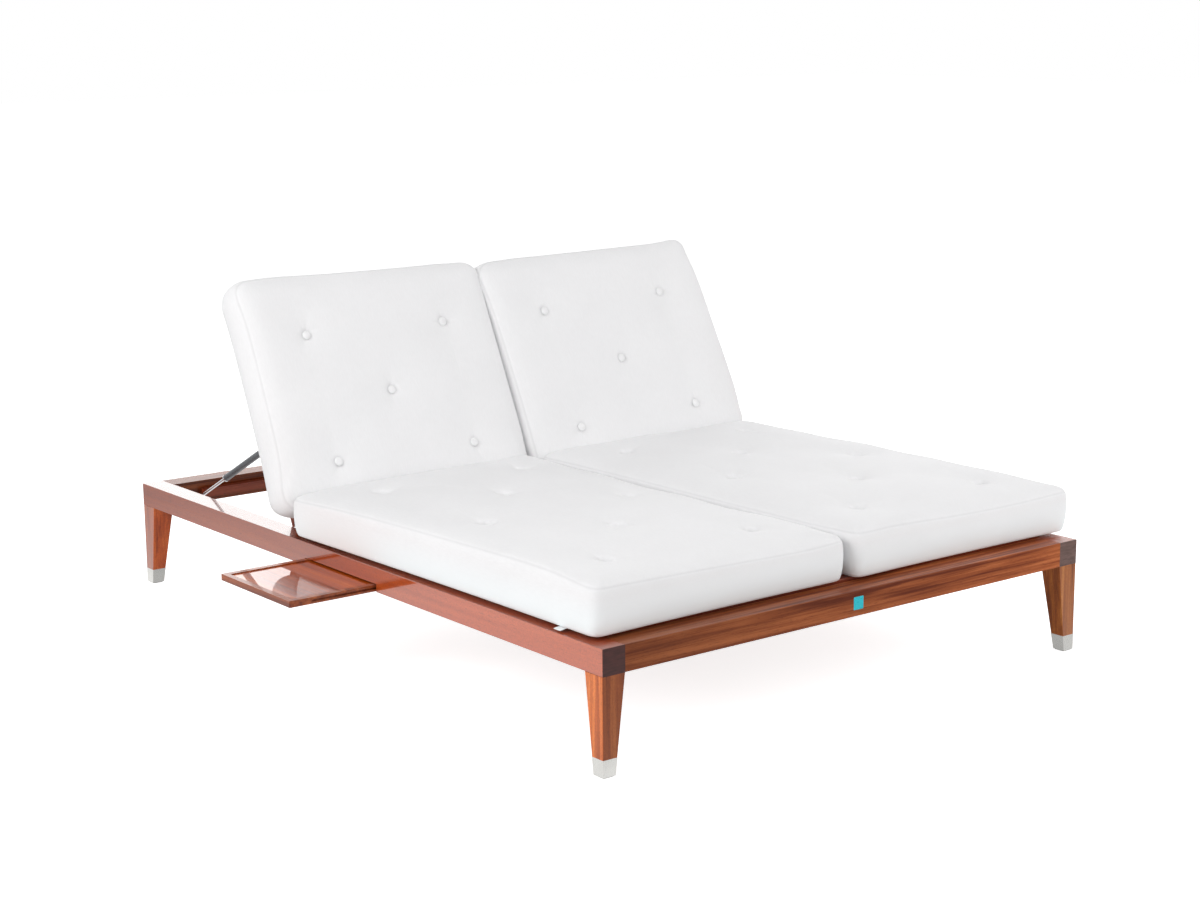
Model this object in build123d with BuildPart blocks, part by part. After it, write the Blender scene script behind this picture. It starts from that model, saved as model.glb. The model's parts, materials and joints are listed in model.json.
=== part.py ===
from build123d import *
import os
from math import cos, radians, sin

# A double chaise lounger in millimetres. X runs across it, Y from its foot to its head, Z up.
# The origin is on the floor under the middle of the frame.

# Frame
frame_width = 1473.0
frame_length = 2060.0
rail_top = 280.0
rail_height = 60.0
side_rail_width = 60.0
end_rail_width = 70.0
hinge_rail_width = 50.0
centre_beam_width = 45.0
edge_round = 1.5

# Legs, ferrules and glides
leg_floor_width = 33.4
ferrule_height = 40.5
ferrule_wall = 1.2
ferrule_floor = 1.6
glide_thickness = 2.0
glide_margin = 3.0
glide_stem_diameter = 5.0
glide_stem_length = 14.0
leg_stud_diameter = 10.0
leg_stud_in_leg = 45.0
leg_insert_diameter = 16.0
leg_insert_length = 25.0

# Seat deck
deck_rise = 7.0
slat_thickness = 20.0
slat_width = 70.0
slat_count = 13
slat_end_gap = 1.5
slat_edge_round = 2.0
deck_foot_gap = 5.0
deck_hinge_gap = 16.0
ledger_width = 22.0
slat_screw_diameter = 5.0
slat_screw_head = 10.0
slat_screw_head_height = 3.0
slat_screw_length = 36.0

# Corner brackets
bracket_leg = 45.0
bracket_thickness = 4.0
bracket_gap = 2.0
bracket_screw_diameter = 5.0
bracket_screw_head = 9.0
bracket_screw_head_height = 2.5
bracket_screw_length = 30.0
bracket_screw_share = 2 / 3

# Plain plate let into the foot rail
plate_size = 30.0
plate_thickness = 1.5
plate_offset = 6.0
plate_corner = 1.5

# Backrests
seat_length_share = 0.652913
hinge_depth = 17.0
back_thickness = 28.0
recline = 65.0
back_foot_gap = 10.0
back_end_gap = 9.0
back_side_gap = 6.0
back_middle_gap = 32.0
stile_width = 55.0
cross_rail_width = 60.0
back_slat_thickness = 14.0
back_slat_width = 70.0
back_slat_count = 5
rest_depth = 25.0
rest_height = 22.0
rest_gap = 0.3
rest_end_inset = 55.0

# Backrest hinges
hinge_length = 60.0
hinge_inset = 100.0
knuckle_radius = 7.0
leaf_thickness = 3.0
leaf_drop = 38.0
leaf_margin = 3.0
hinge_pin_diameter = 6.0
running_clearance = 0.05
side_clearance = 0.3

# Gas struts
strut_inset = 28.0
upper_pivot_reach = 239.0
upper_pivot_depth = 16.6
lower_pivot_from_head = 145.0
lower_pivot_drop = 33.0
strut_eye_radius = 9.0
strut_eye_width = 11.0
strut_pin_diameter = 8.0
strut_neck_diameter = 10.0
cylinder_diameter = 18.0
cylinder_wall = 1.5
cylinder_end_thickness = 6.0
cylinder_start = 16.0
cylinder_share = 0.6
gland_length = 15.0
gland_flange = 5.0
gland_flange_diameter = 20.0
rod_diameter = 8.0
piston_length = 12.0
piston_gap = 11.0
piston_clearance = 0.1
rod_eye_shank = 14.0
rod_in_shank = 10.0
ear_thickness = 4.0
ear_gap = 0.5
pin_head_diameter = 13.0
pin_head_thickness = 2.0
anchor_thickness = 3.0
anchor_length = 40.0
anchor_height = 30.0
anchor_stud_diameter = 12.0
strut_bracket_length = 44.0
open_pivot_gap = 0.3

# Side trays
tray_hinge_gap = 100.0
tray_length = 322.0
tray_depth = 330.0
tray_thickness = 16.0
tray_hold = 37.0
tray_side_gap = 1.5
tray_top_gap = 1.5
tray_notch_height = 20.0
tray_rim = 16.0
tray_recess = 3.0
tray_panel_thickness = 6.0
tray_panel_tongue = 3.0
tray_groove_depth = 6.0
tray_groove_height = 5.6
tray_groove_gap = 0.5
tray_edge_round = 1.2
bearer_width = 22.0
bearer_tongue_reach = 5.0
bearer_tongue_gap = 0.3
ledger_headroom = 4.0
tray_peg_diameter = 8.0
tray_peg_depth = 4.0
tray_peg_rise = 2.5
tray_peg_gap = 0.3

# Cushions
soft_gap = 0.3
cushion_middle_gap = 17.0
cushion_draw_in = 5.0
cushion_corner = 28.0
cushion_bottom_round = 20.0
seat_front_gap = 50.0
seat_back_gap = 7.0
seat_thickness = 100.0
seat_crown = 30.0
back_cushion_start = 40.0
back_cushion_end_gap = 12.0
back_cushion_thickness = 105.0
back_crown = 22.0
crown_rise_shares = (0.0, 0.4, 0.8, 1.0)
crown_inset_shares = (0.0, 0.13, 0.45, 1.0)
seat_crown_inset_share = 0.238
back_crown_inset_share = 0.291
crown_top_corner_share = 0.36

# Tufts and their buttons
button_diameter = 24.0
button_height = 5.0
button_edge = 1.5
button_seat_gap = 0.6
tuft_radius = 90.0
tuft_rise = 16.0
button_sink = 1.0
seat_tuft_rows = 5
seat_tuft_pitch_share = 0.181
seat_tuft_column_share = 0.2915
seat_tuft_shift_share = 0.01
back_tuft_rows = 3
back_tuft_pitch_share = 0.2877
back_tuft_column_share = 0.2845
back_tuft_shift_share = 0.0548

# Fabric tab under the left seat cushion
tab_length = 26.0
tab_width = 20.0
tab_thickness = 1.3
tab_from_front = 100.0
tab_from_side = 6.0

# Heights and edges of the frame
half_width = frame_width / 2
half_length = frame_length / 2
rail_bottom = rail_top - rail_height
inner_half_width = half_width - side_rail_width
foot_inner_y = end_rail_width - half_length
head_inner_y = half_length - end_rail_width
leg_top_width = side_rail_width

# Levels of the deck
deck_top = rail_top + deck_rise
slat_bottom = deck_top - slat_thickness
notch_top = rail_bottom + tray_notch_height
ledger_bottom = notch_top + ledger_headroom

# Backrest hinge axis, and the backrest's own limits along its slope and through its thickness
seat_length = frame_length * seat_length_share
hinge_y = seat_length - half_length
hinge_z = deck_top - hinge_depth
back_front = hinge_depth
back_rear = hinge_depth - back_thickness
back_end = head_inner_y - hinge_y - back_end_gap
back_outer = inner_half_width - back_side_gap
back_inner = back_middle_gap / 2
leaf_back = knuckle_radius + leaf_thickness
hinge_rail_rear_y = hinge_y - leaf_back
hinge_rail_front_y = hinge_rail_rear_y - hinge_rail_width

slope = radians(recline)
back_up = Vector(0, cos(slope), sin(slope))
back_out = Vector(0, -sin(slope), cos(slope))
hinge_point = Vector(0, hinge_y, hinge_z)
back_plane = Plane(origin=hinge_point, x_dir=(1, 0, 0), z_dir=back_out)

# Trays
tray_draw = tray_depth - side_rail_width - tray_hold
tray_rear_y = hinge_rail_front_y - tray_hinge_gap
tray_front_y = tray_rear_y - tray_length
tray_top = notch_top - tray_top_gap
tray_bottom = tray_top - tray_thickness
tray_outer = half_width + tray_draw
tray_inner = tray_outer - tray_depth
groove_bottom = (tray_top + tray_bottom - tray_groove_height) / 2
groove_top = groove_bottom + tray_groove_height

# Cushions
cushion_width = half_width - cushion_middle_gap / 2
cushion_middle_x = half_width - cushion_width / 2
cushion_foot = back_front + soft_gap
back_cushion_end = back_end - back_cushion_end_gap
seat_cushion_front_y = seat_front_gap - half_length
lower_lip = back_up * back_cushion_start + back_out * (cushion_foot + back_cushion_thickness)
seat_cushion_rear_y = hinge_y + lower_lip.Y - seat_back_gap

sides = {"left": -1, "right": 1}
corners = [(x, y) for x in (-1, 1) for y in (-1, 1)]

os.makedirs("parts", exist_ok=True)


def save(piece, node):
    """Labels a finished piece and writes it."""
    piece.part.label = node
    export_step(piece.part, f"parts/{node}.step")


def block(x_limits, y_limits, z_limits, mode=Mode.ADD):
    """A box between two limits along each axis of the piece's own plane."""
    low = [min(limits) for limits in (x_limits, y_limits, z_limits)]
    size = [max(limits) - min(limits) for limits in (x_limits, y_limits, z_limits)]
    with Locations(tuple(low)):
        Box(*size, align=(Align.MIN, Align.MIN, Align.MIN), mode=mode)


def rod_at(point, direction, radius, length):
    """A round bar from a point along a direction."""
    with BuildPart(Plane(origin=point, z_dir=direction)) as bar:
        Cylinder(radius, length, align=(Align.CENTER, Align.CENTER, Align.MIN))
    return bar.part


def screw_at(point, direction, diameter, head, head_height, length):
    """A countersunk screw whose head is flush at a point and whose shank runs along a direction."""
    with BuildPart(Plane(origin=point, z_dir=direction)) as screw:
        Cylinder(diameter / 2, length, align=(Align.CENTER, Align.CENTER, Align.MIN))
        Cone(head / 2, diameter / 2, head_height, align=(Align.CENTER, Align.CENTER, Align.MIN))
    return screw.part


# Fasteners, made first because the wood is bored for them
slat_span = (foot_inner_y + deck_foot_gap, hinge_y - deck_hinge_gap)
slat_pitch = (slat_span[1] - slat_span[0] - slat_width) / (slat_count - 1)
slat_rows = [slat_span[0] + slat_width / 2 + slat_pitch * row for row in range(slat_count)]
ledger_middle = inner_half_width - ledger_width / 2
slat_screw_shapes = [
    screw_at(
        (x, y, deck_top),
        (0, 0, -1),
        slat_screw_diameter,
        slat_screw_head,
        slat_screw_head_height,
        slat_screw_length,
    )
    for y in slat_rows[:-1]
    for x in (-ledger_middle, 0, ledger_middle)
]

bracket_bottom = rail_bottom + bracket_gap
bracket_top = ledger_bottom - bracket_gap
bracket_middle = (bracket_bottom + bracket_top) / 2
bracket_screw_reach = bracket_leg * bracket_screw_share


def bracket_screw(point, direction):
    """A screw through a steel plate into a rail."""
    return screw_at(
        point,
        direction,
        bracket_screw_diameter,
        bracket_screw_head,
        bracket_screw_head_height,
        bracket_screw_length,
    )


side_bracket_screws = [
    bracket_screw(
        (
            x * (inner_half_width - bracket_thickness),
            y * (head_inner_y - bracket_screw_reach),
            bracket_middle,
        ),
        (x, 0, 0),
    )
    for x, y in corners
]
end_bracket_screws = [
    bracket_screw(
        (
            x * (inner_half_width - bracket_screw_reach),
            y * (head_inner_y - bracket_thickness),
            bracket_middle,
        ),
        (0, y, 0),
    )
    for x, y in corners
]

# Strut geometry: the upper pivot is on the backrest and the lower one on the side rail
strut_x = inner_half_width - strut_inset
upper_depth = back_rear - upper_pivot_depth
upper_pivot = hinge_point + back_up * upper_pivot_reach + back_out * upper_depth
lower_pivot = Vector(0, half_length - lower_pivot_from_head, rail_top - lower_pivot_drop)
strut_line = lower_pivot - upper_pivot
strut_length = strut_line.length
strut_direction = strut_line.normalized()
cylinder_end = strut_length * cylinder_share
anchor_screw_reach = anchor_length / 2 - bracket_screw_head
anchor_screws = {
    side: [
        bracket_screw(
            (
                side * (inner_half_width - anchor_thickness),
                lower_pivot.Y + end * anchor_screw_reach,
                lower_pivot.Z,
            ),
            (side, 0, 0),
        )
        for end in (-1, 1)
    ]
    for side in sides.values()
}


def leg_middle(x, y, width):
    """The middle of a leg's square slice; the two outer faces of a leg stay plumb."""
    return x * (half_width - width / 2), y * (half_length - width / 2)


leg_studs_at = [leg_middle(x, y, leg_top_width) for x, y in corners]
leg_stud_in_rail = leg_insert_length


def leg_slice(x, y, z, inset):
    """A leg's square slice at a height, set in from its faces."""
    width = leg_floor_width + (leg_top_width - leg_floor_width) * z / rail_bottom
    with BuildSketch(Plane.XY.offset(z)) as slice_at:
        with Locations(leg_middle(x, y, width)):
            Rectangle(width - 2 * inset, width - 2 * inset)
    return slice_at.sketch


# Side rails run the whole length; each has a notch in its underside for a tray
for name, side in sides.items():
    with BuildPart() as side_rail:
        block(
            (side * half_width, side * inner_half_width),
            (-half_length, half_length),
            (rail_bottom, rail_top),
        )
        fillet(side_rail.edges().filter_by(Axis.Y), radius=edge_round)
        block(
            (side * half_width, side * inner_half_width),
            (tray_front_y - tray_side_gap, tray_rear_y + tray_side_gap),
            (rail_bottom, notch_top),
            mode=Mode.SUBTRACT,
        )
        for x, y in leg_studs_at:
            if x * side > 0:
                bore = rod_at((x, y, rail_bottom), (0, 0, 1), leg_insert_diameter / 2, leg_insert_length)
                add(bore, mode=Mode.SUBTRACT)
        add([s for s in side_bracket_screws if s.center().X * side > 0], mode=Mode.SUBTRACT)
        add(anchor_screws[side], mode=Mode.SUBTRACT)
    save(side_rail, f"side_rail_{name}")

# End rails butt between the side rails
with BuildPart() as foot_rail:
    block((-inner_half_width, inner_half_width), (-half_length, foot_inner_y), (rail_bottom, rail_top))
    fillet(foot_rail.edges().filter_by(Axis.X), radius=edge_round)
    with BuildSketch(Plane.XZ.offset(half_length)):
        with Locations((-plate_offset, (rail_top + rail_bottom) / 2)):
            RectangleRounded(plate_size, plate_size, plate_corner)
    extrude(amount=-plate_thickness, mode=Mode.SUBTRACT)
    add([s for s in end_bracket_screws if s.center().Y < 0], mode=Mode.SUBTRACT)
save(foot_rail, "foot_rail")

with BuildPart() as head_rail:
    block((-inner_half_width, inner_half_width), (head_inner_y, half_length), (rail_bottom, rail_top))
    fillet(head_rail.edges().filter_by(Axis.X), radius=edge_round)
    add([s for s in end_bracket_screws if s.center().Y > 0], mode=Mode.SUBTRACT)
save(head_rail, "head_rail")

with BuildPart() as hinge_rail:
    block(
        (-inner_half_width, inner_half_width),
        (hinge_rail_front_y, hinge_rail_rear_y),
        (rail_bottom, slat_bottom),
    )
save(hinge_rail, "hinge_rail")

with BuildPart() as centre_beam:
    block(
        (-centre_beam_width / 2, centre_beam_width / 2),
        (foot_inner_y, hinge_rail_front_y),
        (rail_bottom, slat_bottom),
    )
    add(slat_screw_shapes, mode=Mode.SUBTRACT)
save(centre_beam, "centre_beam")

with BuildPart() as side_ledgers:
    for side in sides.values():
        block(
            (side * inner_half_width, side * (inner_half_width - ledger_width)),
            (foot_inner_y, hinge_rail_front_y),
            (ledger_bottom, slat_bottom),
        )
    add(slat_screw_shapes, mode=Mode.SUBTRACT)
save(side_ledgers, "side_ledgers")

with BuildPart() as plain_plate:
    with BuildSketch(Plane.XZ.offset(half_length)):
        with Locations((-plate_offset, (rail_top + rail_bottom) / 2)):
            RectangleRounded(plate_size, plate_size, plate_corner)
    extrude(amount=-plate_thickness)
save(plain_plate, "plain_plate")

# Legs taper on their two inner faces and are rebated at the foot for the ferrules
for (x, y), label in zip(corners, ("foot_left", "head_left", "foot_right", "head_right")):
    with BuildPart() as leg:
        loft([leg_slice(x, y, rail_bottom, 0), leg_slice(x, y, ferrule_height, 0)])
        upright = leg.edges().filter_by(lambda edge: abs(edge.tangent_at(0).Z) > abs(edge.tangent_at(0).X))
        upright = upright.filter_by(lambda edge: abs(edge.tangent_at(0).Z) > abs(edge.tangent_at(0).Y))
        fillet(upright, radius=edge_round)
        shod = glide_thickness + ferrule_floor
        loft([leg_slice(x, y, ferrule_height, ferrule_wall), leg_slice(x, y, shod, ferrule_wall)])
        stud = leg_middle(x, y, leg_top_width)
        add(
            rod_at((*stud, rail_bottom), (0, 0, -1), leg_stud_diameter / 2, leg_stud_in_leg),
            mode=Mode.SUBTRACT,
        )
        glide_at = leg_middle(x, y, leg_floor_width)
        add(
            rod_at((*glide_at, 0), (0, 0, 1), glide_stem_diameter / 2, glide_stem_length),
            mode=Mode.SUBTRACT,
        )
    save(leg, f"leg_{label}")

with BuildPart() as ferrules:
    for x, y in corners:
        low = glide_thickness
        loft([leg_slice(x, y, ferrule_height, 0), leg_slice(x, y, low, 0)])
    for x, y in corners:
        shod = glide_thickness + ferrule_floor
        loft(
            [leg_slice(x, y, ferrule_height, ferrule_wall), leg_slice(x, y, shod, ferrule_wall)],
            mode=Mode.SUBTRACT,
        )
        glide_at = leg_middle(x, y, leg_floor_width)
        add(
            rod_at((*glide_at, 0), (0, 0, 1), glide_stem_diameter / 2, glide_stem_length),
            mode=Mode.SUBTRACT,
        )
save(ferrules, "ferrules")

with BuildPart() as glides:
    for x, y in corners:
        glide_at = leg_middle(x, y, leg_floor_width)
        with BuildSketch():
            with Locations(glide_at):
                Rectangle(leg_floor_width - 2 * glide_margin, leg_floor_width - 2 * glide_margin)
        extrude(amount=glide_thickness)
        add(rod_at((*glide_at, 0), (0, 0, 1), glide_stem_diameter / 2, glide_stem_length))
save(glides, "glides")

with BuildPart() as leg_inserts:
    for x, y in leg_studs_at:
        add(rod_at((x, y, rail_bottom), (0, 0, 1), leg_insert_diameter / 2, leg_insert_length))
        add(
            rod_at((x, y, rail_bottom), (0, 0, 1), leg_stud_diameter / 2, leg_stud_in_rail),
            mode=Mode.SUBTRACT,
        )
save(leg_inserts, "leg_inserts")

with BuildPart() as leg_studs:
    for x, y in leg_studs_at:
        low = rail_bottom - leg_stud_in_leg
        add(rod_at((x, y, low), (0, 0, 1), leg_stud_diameter / 2, leg_stud_in_leg + leg_stud_in_rail))
save(leg_studs, "leg_studs")

# Steel angles hold the four corners from inside
with BuildPart() as corner_brackets:
    for x, y in corners:
        across = (x * inner_half_width, x * (inner_half_width - bracket_leg))
        along = (y * head_inner_y, y * (head_inner_y - bracket_leg))
        block(across, (along[0], along[0] - y * bracket_thickness), (bracket_bottom, bracket_top))
        block((across[0], across[0] - x * bracket_thickness), along, (bracket_bottom, bracket_top))
    add(side_bracket_screws + end_bracket_screws, mode=Mode.SUBTRACT)
save(corner_brackets, "corner_brackets")

with BuildPart() as bracket_screws:
    add(side_bracket_screws + end_bracket_screws + anchor_screws[-1] + anchor_screws[1])
save(bracket_screws, "bracket_screws")

with BuildPart() as seat_slats:
    reach = inner_half_width - slat_end_gap
    for y in slat_rows:
        block((-reach, reach), (y - slat_width / 2, y + slat_width / 2), (slat_bottom, deck_top))
    fillet(seat_slats.edges().filter_by(Axis.X).group_by(Axis.Z)[-1], radius=slat_edge_round)
    add(slat_screw_shapes, mode=Mode.SUBTRACT)
save(seat_slats, "seat_slats")

with BuildPart() as slat_screws:
    add(slat_screw_shapes)
save(slat_screws, "slat_screws")

# Cleats on the head rail carry the backrests when they lie flat
with BuildPart() as backrest_rests:
    rest_top = hinge_z + back_rear - rest_gap
    for side in sides.values():
        block(
            (side * (back_inner + rest_end_inset), side * (strut_x - rest_end_inset)),
            (head_inner_y - rest_depth, head_inner_y),
            (rest_top - rest_height, rest_top),
        )
save(backrest_rests, "backrest_rests")

# Tray bearers run from the side rails to the centre beam; their tongues carry the trays
with BuildPart() as tray_bearers:
    tongue_start = inner_half_width
    tongue_end = inner_half_width - tray_depth
    for side in sides.values():
        for y, outward in ((tray_front_y, -1), (tray_rear_y, 1)):
            face = y + outward * tray_side_gap
            block(
                (side * inner_half_width, side * centre_beam_width / 2),
                (face, face + outward * bearer_width),
                (rail_bottom, ledger_bottom),
            )
            block(
                (side * tongue_start, side * tongue_end),
                (face, y - outward * bearer_tongue_reach),
                (groove_bottom + bearer_tongue_gap, groove_top - bearer_tongue_gap),
            )
save(tray_bearers, "tray_bearers")

# Hinges: a fixed leaf on the hinge rail carries the middle knuckle, a moving leaf the outer two
hinge_middles = (back_outer - hinge_inset, back_inner + hinge_inset)
knuckle_third = hinge_length / 3


def knuckle(middle, length, direction):
    """A knuckle about the hinge axis with a web of half its height to the leaf beside it."""
    with BuildSketch(Plane.YZ.offset(middle - length / 2)) as outline:
        Circle(knuckle_radius)
        with Locations((direction * leaf_back / 2, -direction * knuckle_radius / 2)):
            Rectangle(leaf_back, knuckle_radius)
    return extrude(outline.sketch, amount=length, mode=Mode.PRIVATE)


with BuildPart() as fixed_leaves:
    for side in sides.values():
        for middle in hinge_middles:
            hinge_x = side * middle
            reach = hinge_length / 2
            block(
                (hinge_x - reach, hinge_x + reach),
                (hinge_rail_rear_y, hinge_rail_rear_y + leaf_thickness),
                (slat_bottom - leaf_drop, slat_bottom),
            )
            block(
                (hinge_x - knuckle_third / 2, hinge_x + knuckle_third / 2),
                (hinge_rail_rear_y, hinge_rail_rear_y + leaf_thickness),
                (slat_bottom - leaf_drop, hinge_z),
            )
            with Locations((0, hinge_y, hinge_z)):
                add(knuckle(hinge_x, knuckle_third, -1))
            pin_bore = hinge_pin_diameter / 2 + running_clearance
            start = (hinge_x - reach, hinge_y, hinge_z)
            add(rod_at(start, (1, 0, 0), pin_bore, hinge_length), mode=Mode.SUBTRACT)
save(fixed_leaves, "fixed_leaves")


def make_backrest(name, side):
    """The wooden frame of one backrest with its slats, hinge leaves and strut bracket."""
    outer, inner = side * back_outer, side * back_inner
    stile_outer, stile_inner = outer - side * stile_width, inner + side * stile_width

    with BuildPart(back_plane) as stiles:
        block((outer, stile_outer), (back_foot_gap, back_end), (back_rear, back_front))
        block((inner, stile_inner), (back_foot_gap, back_end), (back_rear, back_front))
        long_edges = stiles.edges().filter_by(lambda edge: edge.length > (back_end - back_foot_gap) / 2)
        fillet(long_edges, radius=edge_round)
    save(stiles, f"backrest_stiles_{name}")

    with BuildPart(back_plane) as cross_rails:
        foot = (back_foot_gap, back_foot_gap + cross_rail_width)
        head = (back_end - cross_rail_width, back_end)
        for limits in (foot, head):
            block((stile_outer, stile_inner), limits, (back_rear, back_front))
    save(cross_rails, f"backrest_rails_{name}")

    with BuildPart(back_plane) as back_slats:
        room = (back_foot_gap + cross_rail_width, back_end - cross_rail_width)
        gap = (room[1] - room[0] - back_slat_count * back_slat_width) / (back_slat_count + 1)
        for row in range(back_slat_count):
            start = room[0] + gap + row * (gap + back_slat_width)
            block(
                (stile_outer, stile_inner),
                (start, start + back_slat_width),
                (back_front - back_slat_thickness, back_front),
            )
    save(back_slats, f"backrest_slats_{name}")

    with BuildPart(back_plane) as moving_leaves:
        for middle in hinge_middles:
            hinge_x = side * middle
            reach = hinge_length / 2
            block(
                (hinge_x - reach, hinge_x + reach),
                (knuckle_radius, back_foot_gap),
                (back_rear, back_front - leaf_margin),
            )
            shift = (reach + knuckle_third / 2 + side_clearance) / 2
            length = reach - knuckle_third / 2 - side_clearance
            for end in (-1, 1):
                start = hinge_point + Vector(hinge_x + end * shift - length / 2, 0, 0)
                with BuildSketch(Plane(origin=start, x_dir=back_up, z_dir=(1, 0, 0))) as outline:
                    Circle(knuckle_radius)
                    with Locations((back_foot_gap / 2, -knuckle_radius / 2)):
                        Rectangle(back_foot_gap, knuckle_radius)
                extrude(outline.sketch, amount=length)
        for middle in hinge_middles:
            start = (side * middle - hinge_length / 2, 0, 0)
            bore = rod_at(start, (1, 0, 0), hinge_pin_diameter / 2, hinge_length)
            add(bore, mode=Mode.SUBTRACT)
            clear = side * middle
            block(
                (clear - knuckle_third / 2 - side_clearance, clear + knuckle_third / 2 + side_clearance),
                (0, knuckle_radius + side_clearance),
                (back_rear, back_front),
                mode=Mode.SUBTRACT,
            )
    save(moving_leaves, f"moving_leaves_{name}")

    with BuildPart() as hinge_pins:
        for middle in hinge_middles:
            start = hinge_point + Vector(side * middle - hinge_length / 2, 0, 0)
            add(rod_at(start, (1, 0, 0), hinge_pin_diameter / 2, hinge_length))
    save(hinge_pins, f"hinge_pins_{name}")

    # The bracket's ear stands outside the strut, and its welded pin carries the strut's eye
    eye_half = strut_eye_width / 2
    ear_face = side * (strut_x + eye_half + ear_gap)
    with BuildPart(back_plane) as strut_bracket:
        along = (upper_pivot_reach - strut_bracket_length / 2, upper_pivot_reach + strut_bracket_length / 2)
        block(
            (ear_face + side * ear_thickness, side * (strut_x - eye_half)),
            along,
            (back_rear - ear_thickness, back_rear),
        )
        ear = (upper_pivot_reach - strut_eye_radius, upper_pivot_reach + strut_eye_radius)
        block((ear_face, ear_face + side * ear_thickness), ear, (upper_depth, back_rear))
        pivot = Vector(ear_face, upper_pivot_reach, upper_depth)
        add(rod_at(pivot, (side, 0, 0), strut_eye_radius, ear_thickness))
        pin_start = pivot + Vector(side * ear_thickness, 0, 0)
        pin_length = ear_thickness + 2 * ear_gap + strut_eye_width
        add(rod_at(pin_start, (-side, 0, 0), strut_pin_diameter / 2, pin_length))
        head_start = pin_start - Vector(side * pin_length, 0, 0)
        add(rod_at(head_start, (-side, 0, 0), pin_head_diameter / 2, pin_head_thickness))
    save(strut_bracket, f"strut_bracket_{name}")


for name, side in sides.items():
    make_backrest(name, side)


def make_strut(name, side):
    """One gas strut, at rest fully drawn out: its cylinder, gland, rod and end fitting."""
    axis_plane = Plane(
        origin=upper_pivot + Vector(side * strut_x, 0, 0), x_dir=(1, 0, 0), z_dir=strut_direction
    )
    up = (Align.CENTER, Align.CENTER, Align.MIN)
    tube_radius = cylinder_diameter / 2
    bore_radius = tube_radius - cylinder_wall
    eye_bore = strut_pin_diameter / 2 + running_clearance

    with BuildPart(axis_plane) as cylinder:
        Cylinder(strut_eye_radius, strut_eye_width, rotation=(0, 90, 0))
        Cylinder(strut_neck_diameter / 2, cylinder_start, align=up)
        with Locations((0, 0, cylinder_start)):
            Cylinder(tube_radius, cylinder_end - cylinder_start, align=up)
        hollow_start = cylinder_start + cylinder_end_thickness
        with Locations((0, 0, hollow_start)):
            Cylinder(bore_radius, cylinder_end - hollow_start, align=up, mode=Mode.SUBTRACT)
        Cylinder(eye_bore, strut_eye_width, rotation=(0, 90, 0), mode=Mode.SUBTRACT)
    save(cylinder, f"strut_cylinder_{name}")

    with BuildPart(axis_plane) as gland:
        with Locations((0, 0, cylinder_end - gland_length)):
            Cylinder(bore_radius, gland_length, align=up)
        with Locations((0, 0, cylinder_end)):
            Cylinder(gland_flange_diameter / 2, gland_flange, align=up)
        with Locations((0, 0, cylinder_end - gland_length)):
            Cylinder(
                rod_diameter / 2 + running_clearance,
                gland_length + gland_flange,
                align=up,
                mode=Mode.SUBTRACT,
            )
    save(gland, f"strut_gland_{name}")

    shank_start = strut_length - strut_eye_radius - rod_eye_shank
    piston_end = cylinder_end - gland_length - piston_gap
    with BuildPart(axis_plane) as rod:
        with Locations((0, 0, piston_end - piston_length)):
            Cylinder(rod_diameter / 2, shank_start + rod_in_shank - piston_end + piston_length, align=up)
            Cylinder(bore_radius - piston_clearance, piston_length, align=up)
    save(rod, f"strut_rod_{name}")

    with BuildPart(axis_plane) as rod_eye:
        with Locations((0, 0, strut_length)):
            Cylinder(strut_eye_radius, strut_eye_width, rotation=(0, 90, 0))
        with Locations((0, 0, shank_start)):
            Cylinder(strut_neck_diameter / 2, rod_eye_shank + strut_eye_radius, align=up)
            Cylinder(rod_diameter / 2, rod_in_shank, align=up, mode=Mode.SUBTRACT)
    save(rod_eye, f"strut_rod_eye_{name}")


for name, side in sides.items():
    make_strut(name, side)

# Anchors on the side rails: each stud ends just short of the strut's lower eye
with BuildPart() as strut_anchors:
    for side in sides.values():
        block(
            (side * inner_half_width, side * (inner_half_width - anchor_thickness)),
            (lower_pivot.Y - anchor_length / 2, lower_pivot.Y + anchor_length / 2),
            (lower_pivot.Z - anchor_height / 2, lower_pivot.Z + anchor_height / 2),
        )
        stud_start = (side * inner_half_width, lower_pivot.Y, lower_pivot.Z)
        stud_length = strut_inset - strut_eye_width / 2 - open_pivot_gap
        add(rod_at(stud_start, (-side, 0, 0), anchor_stud_diameter / 2, stud_length))
    add(anchor_screws[-1] + anchor_screws[1], mode=Mode.SUBTRACT)
save(strut_anchors, "strut_anchors")


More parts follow.
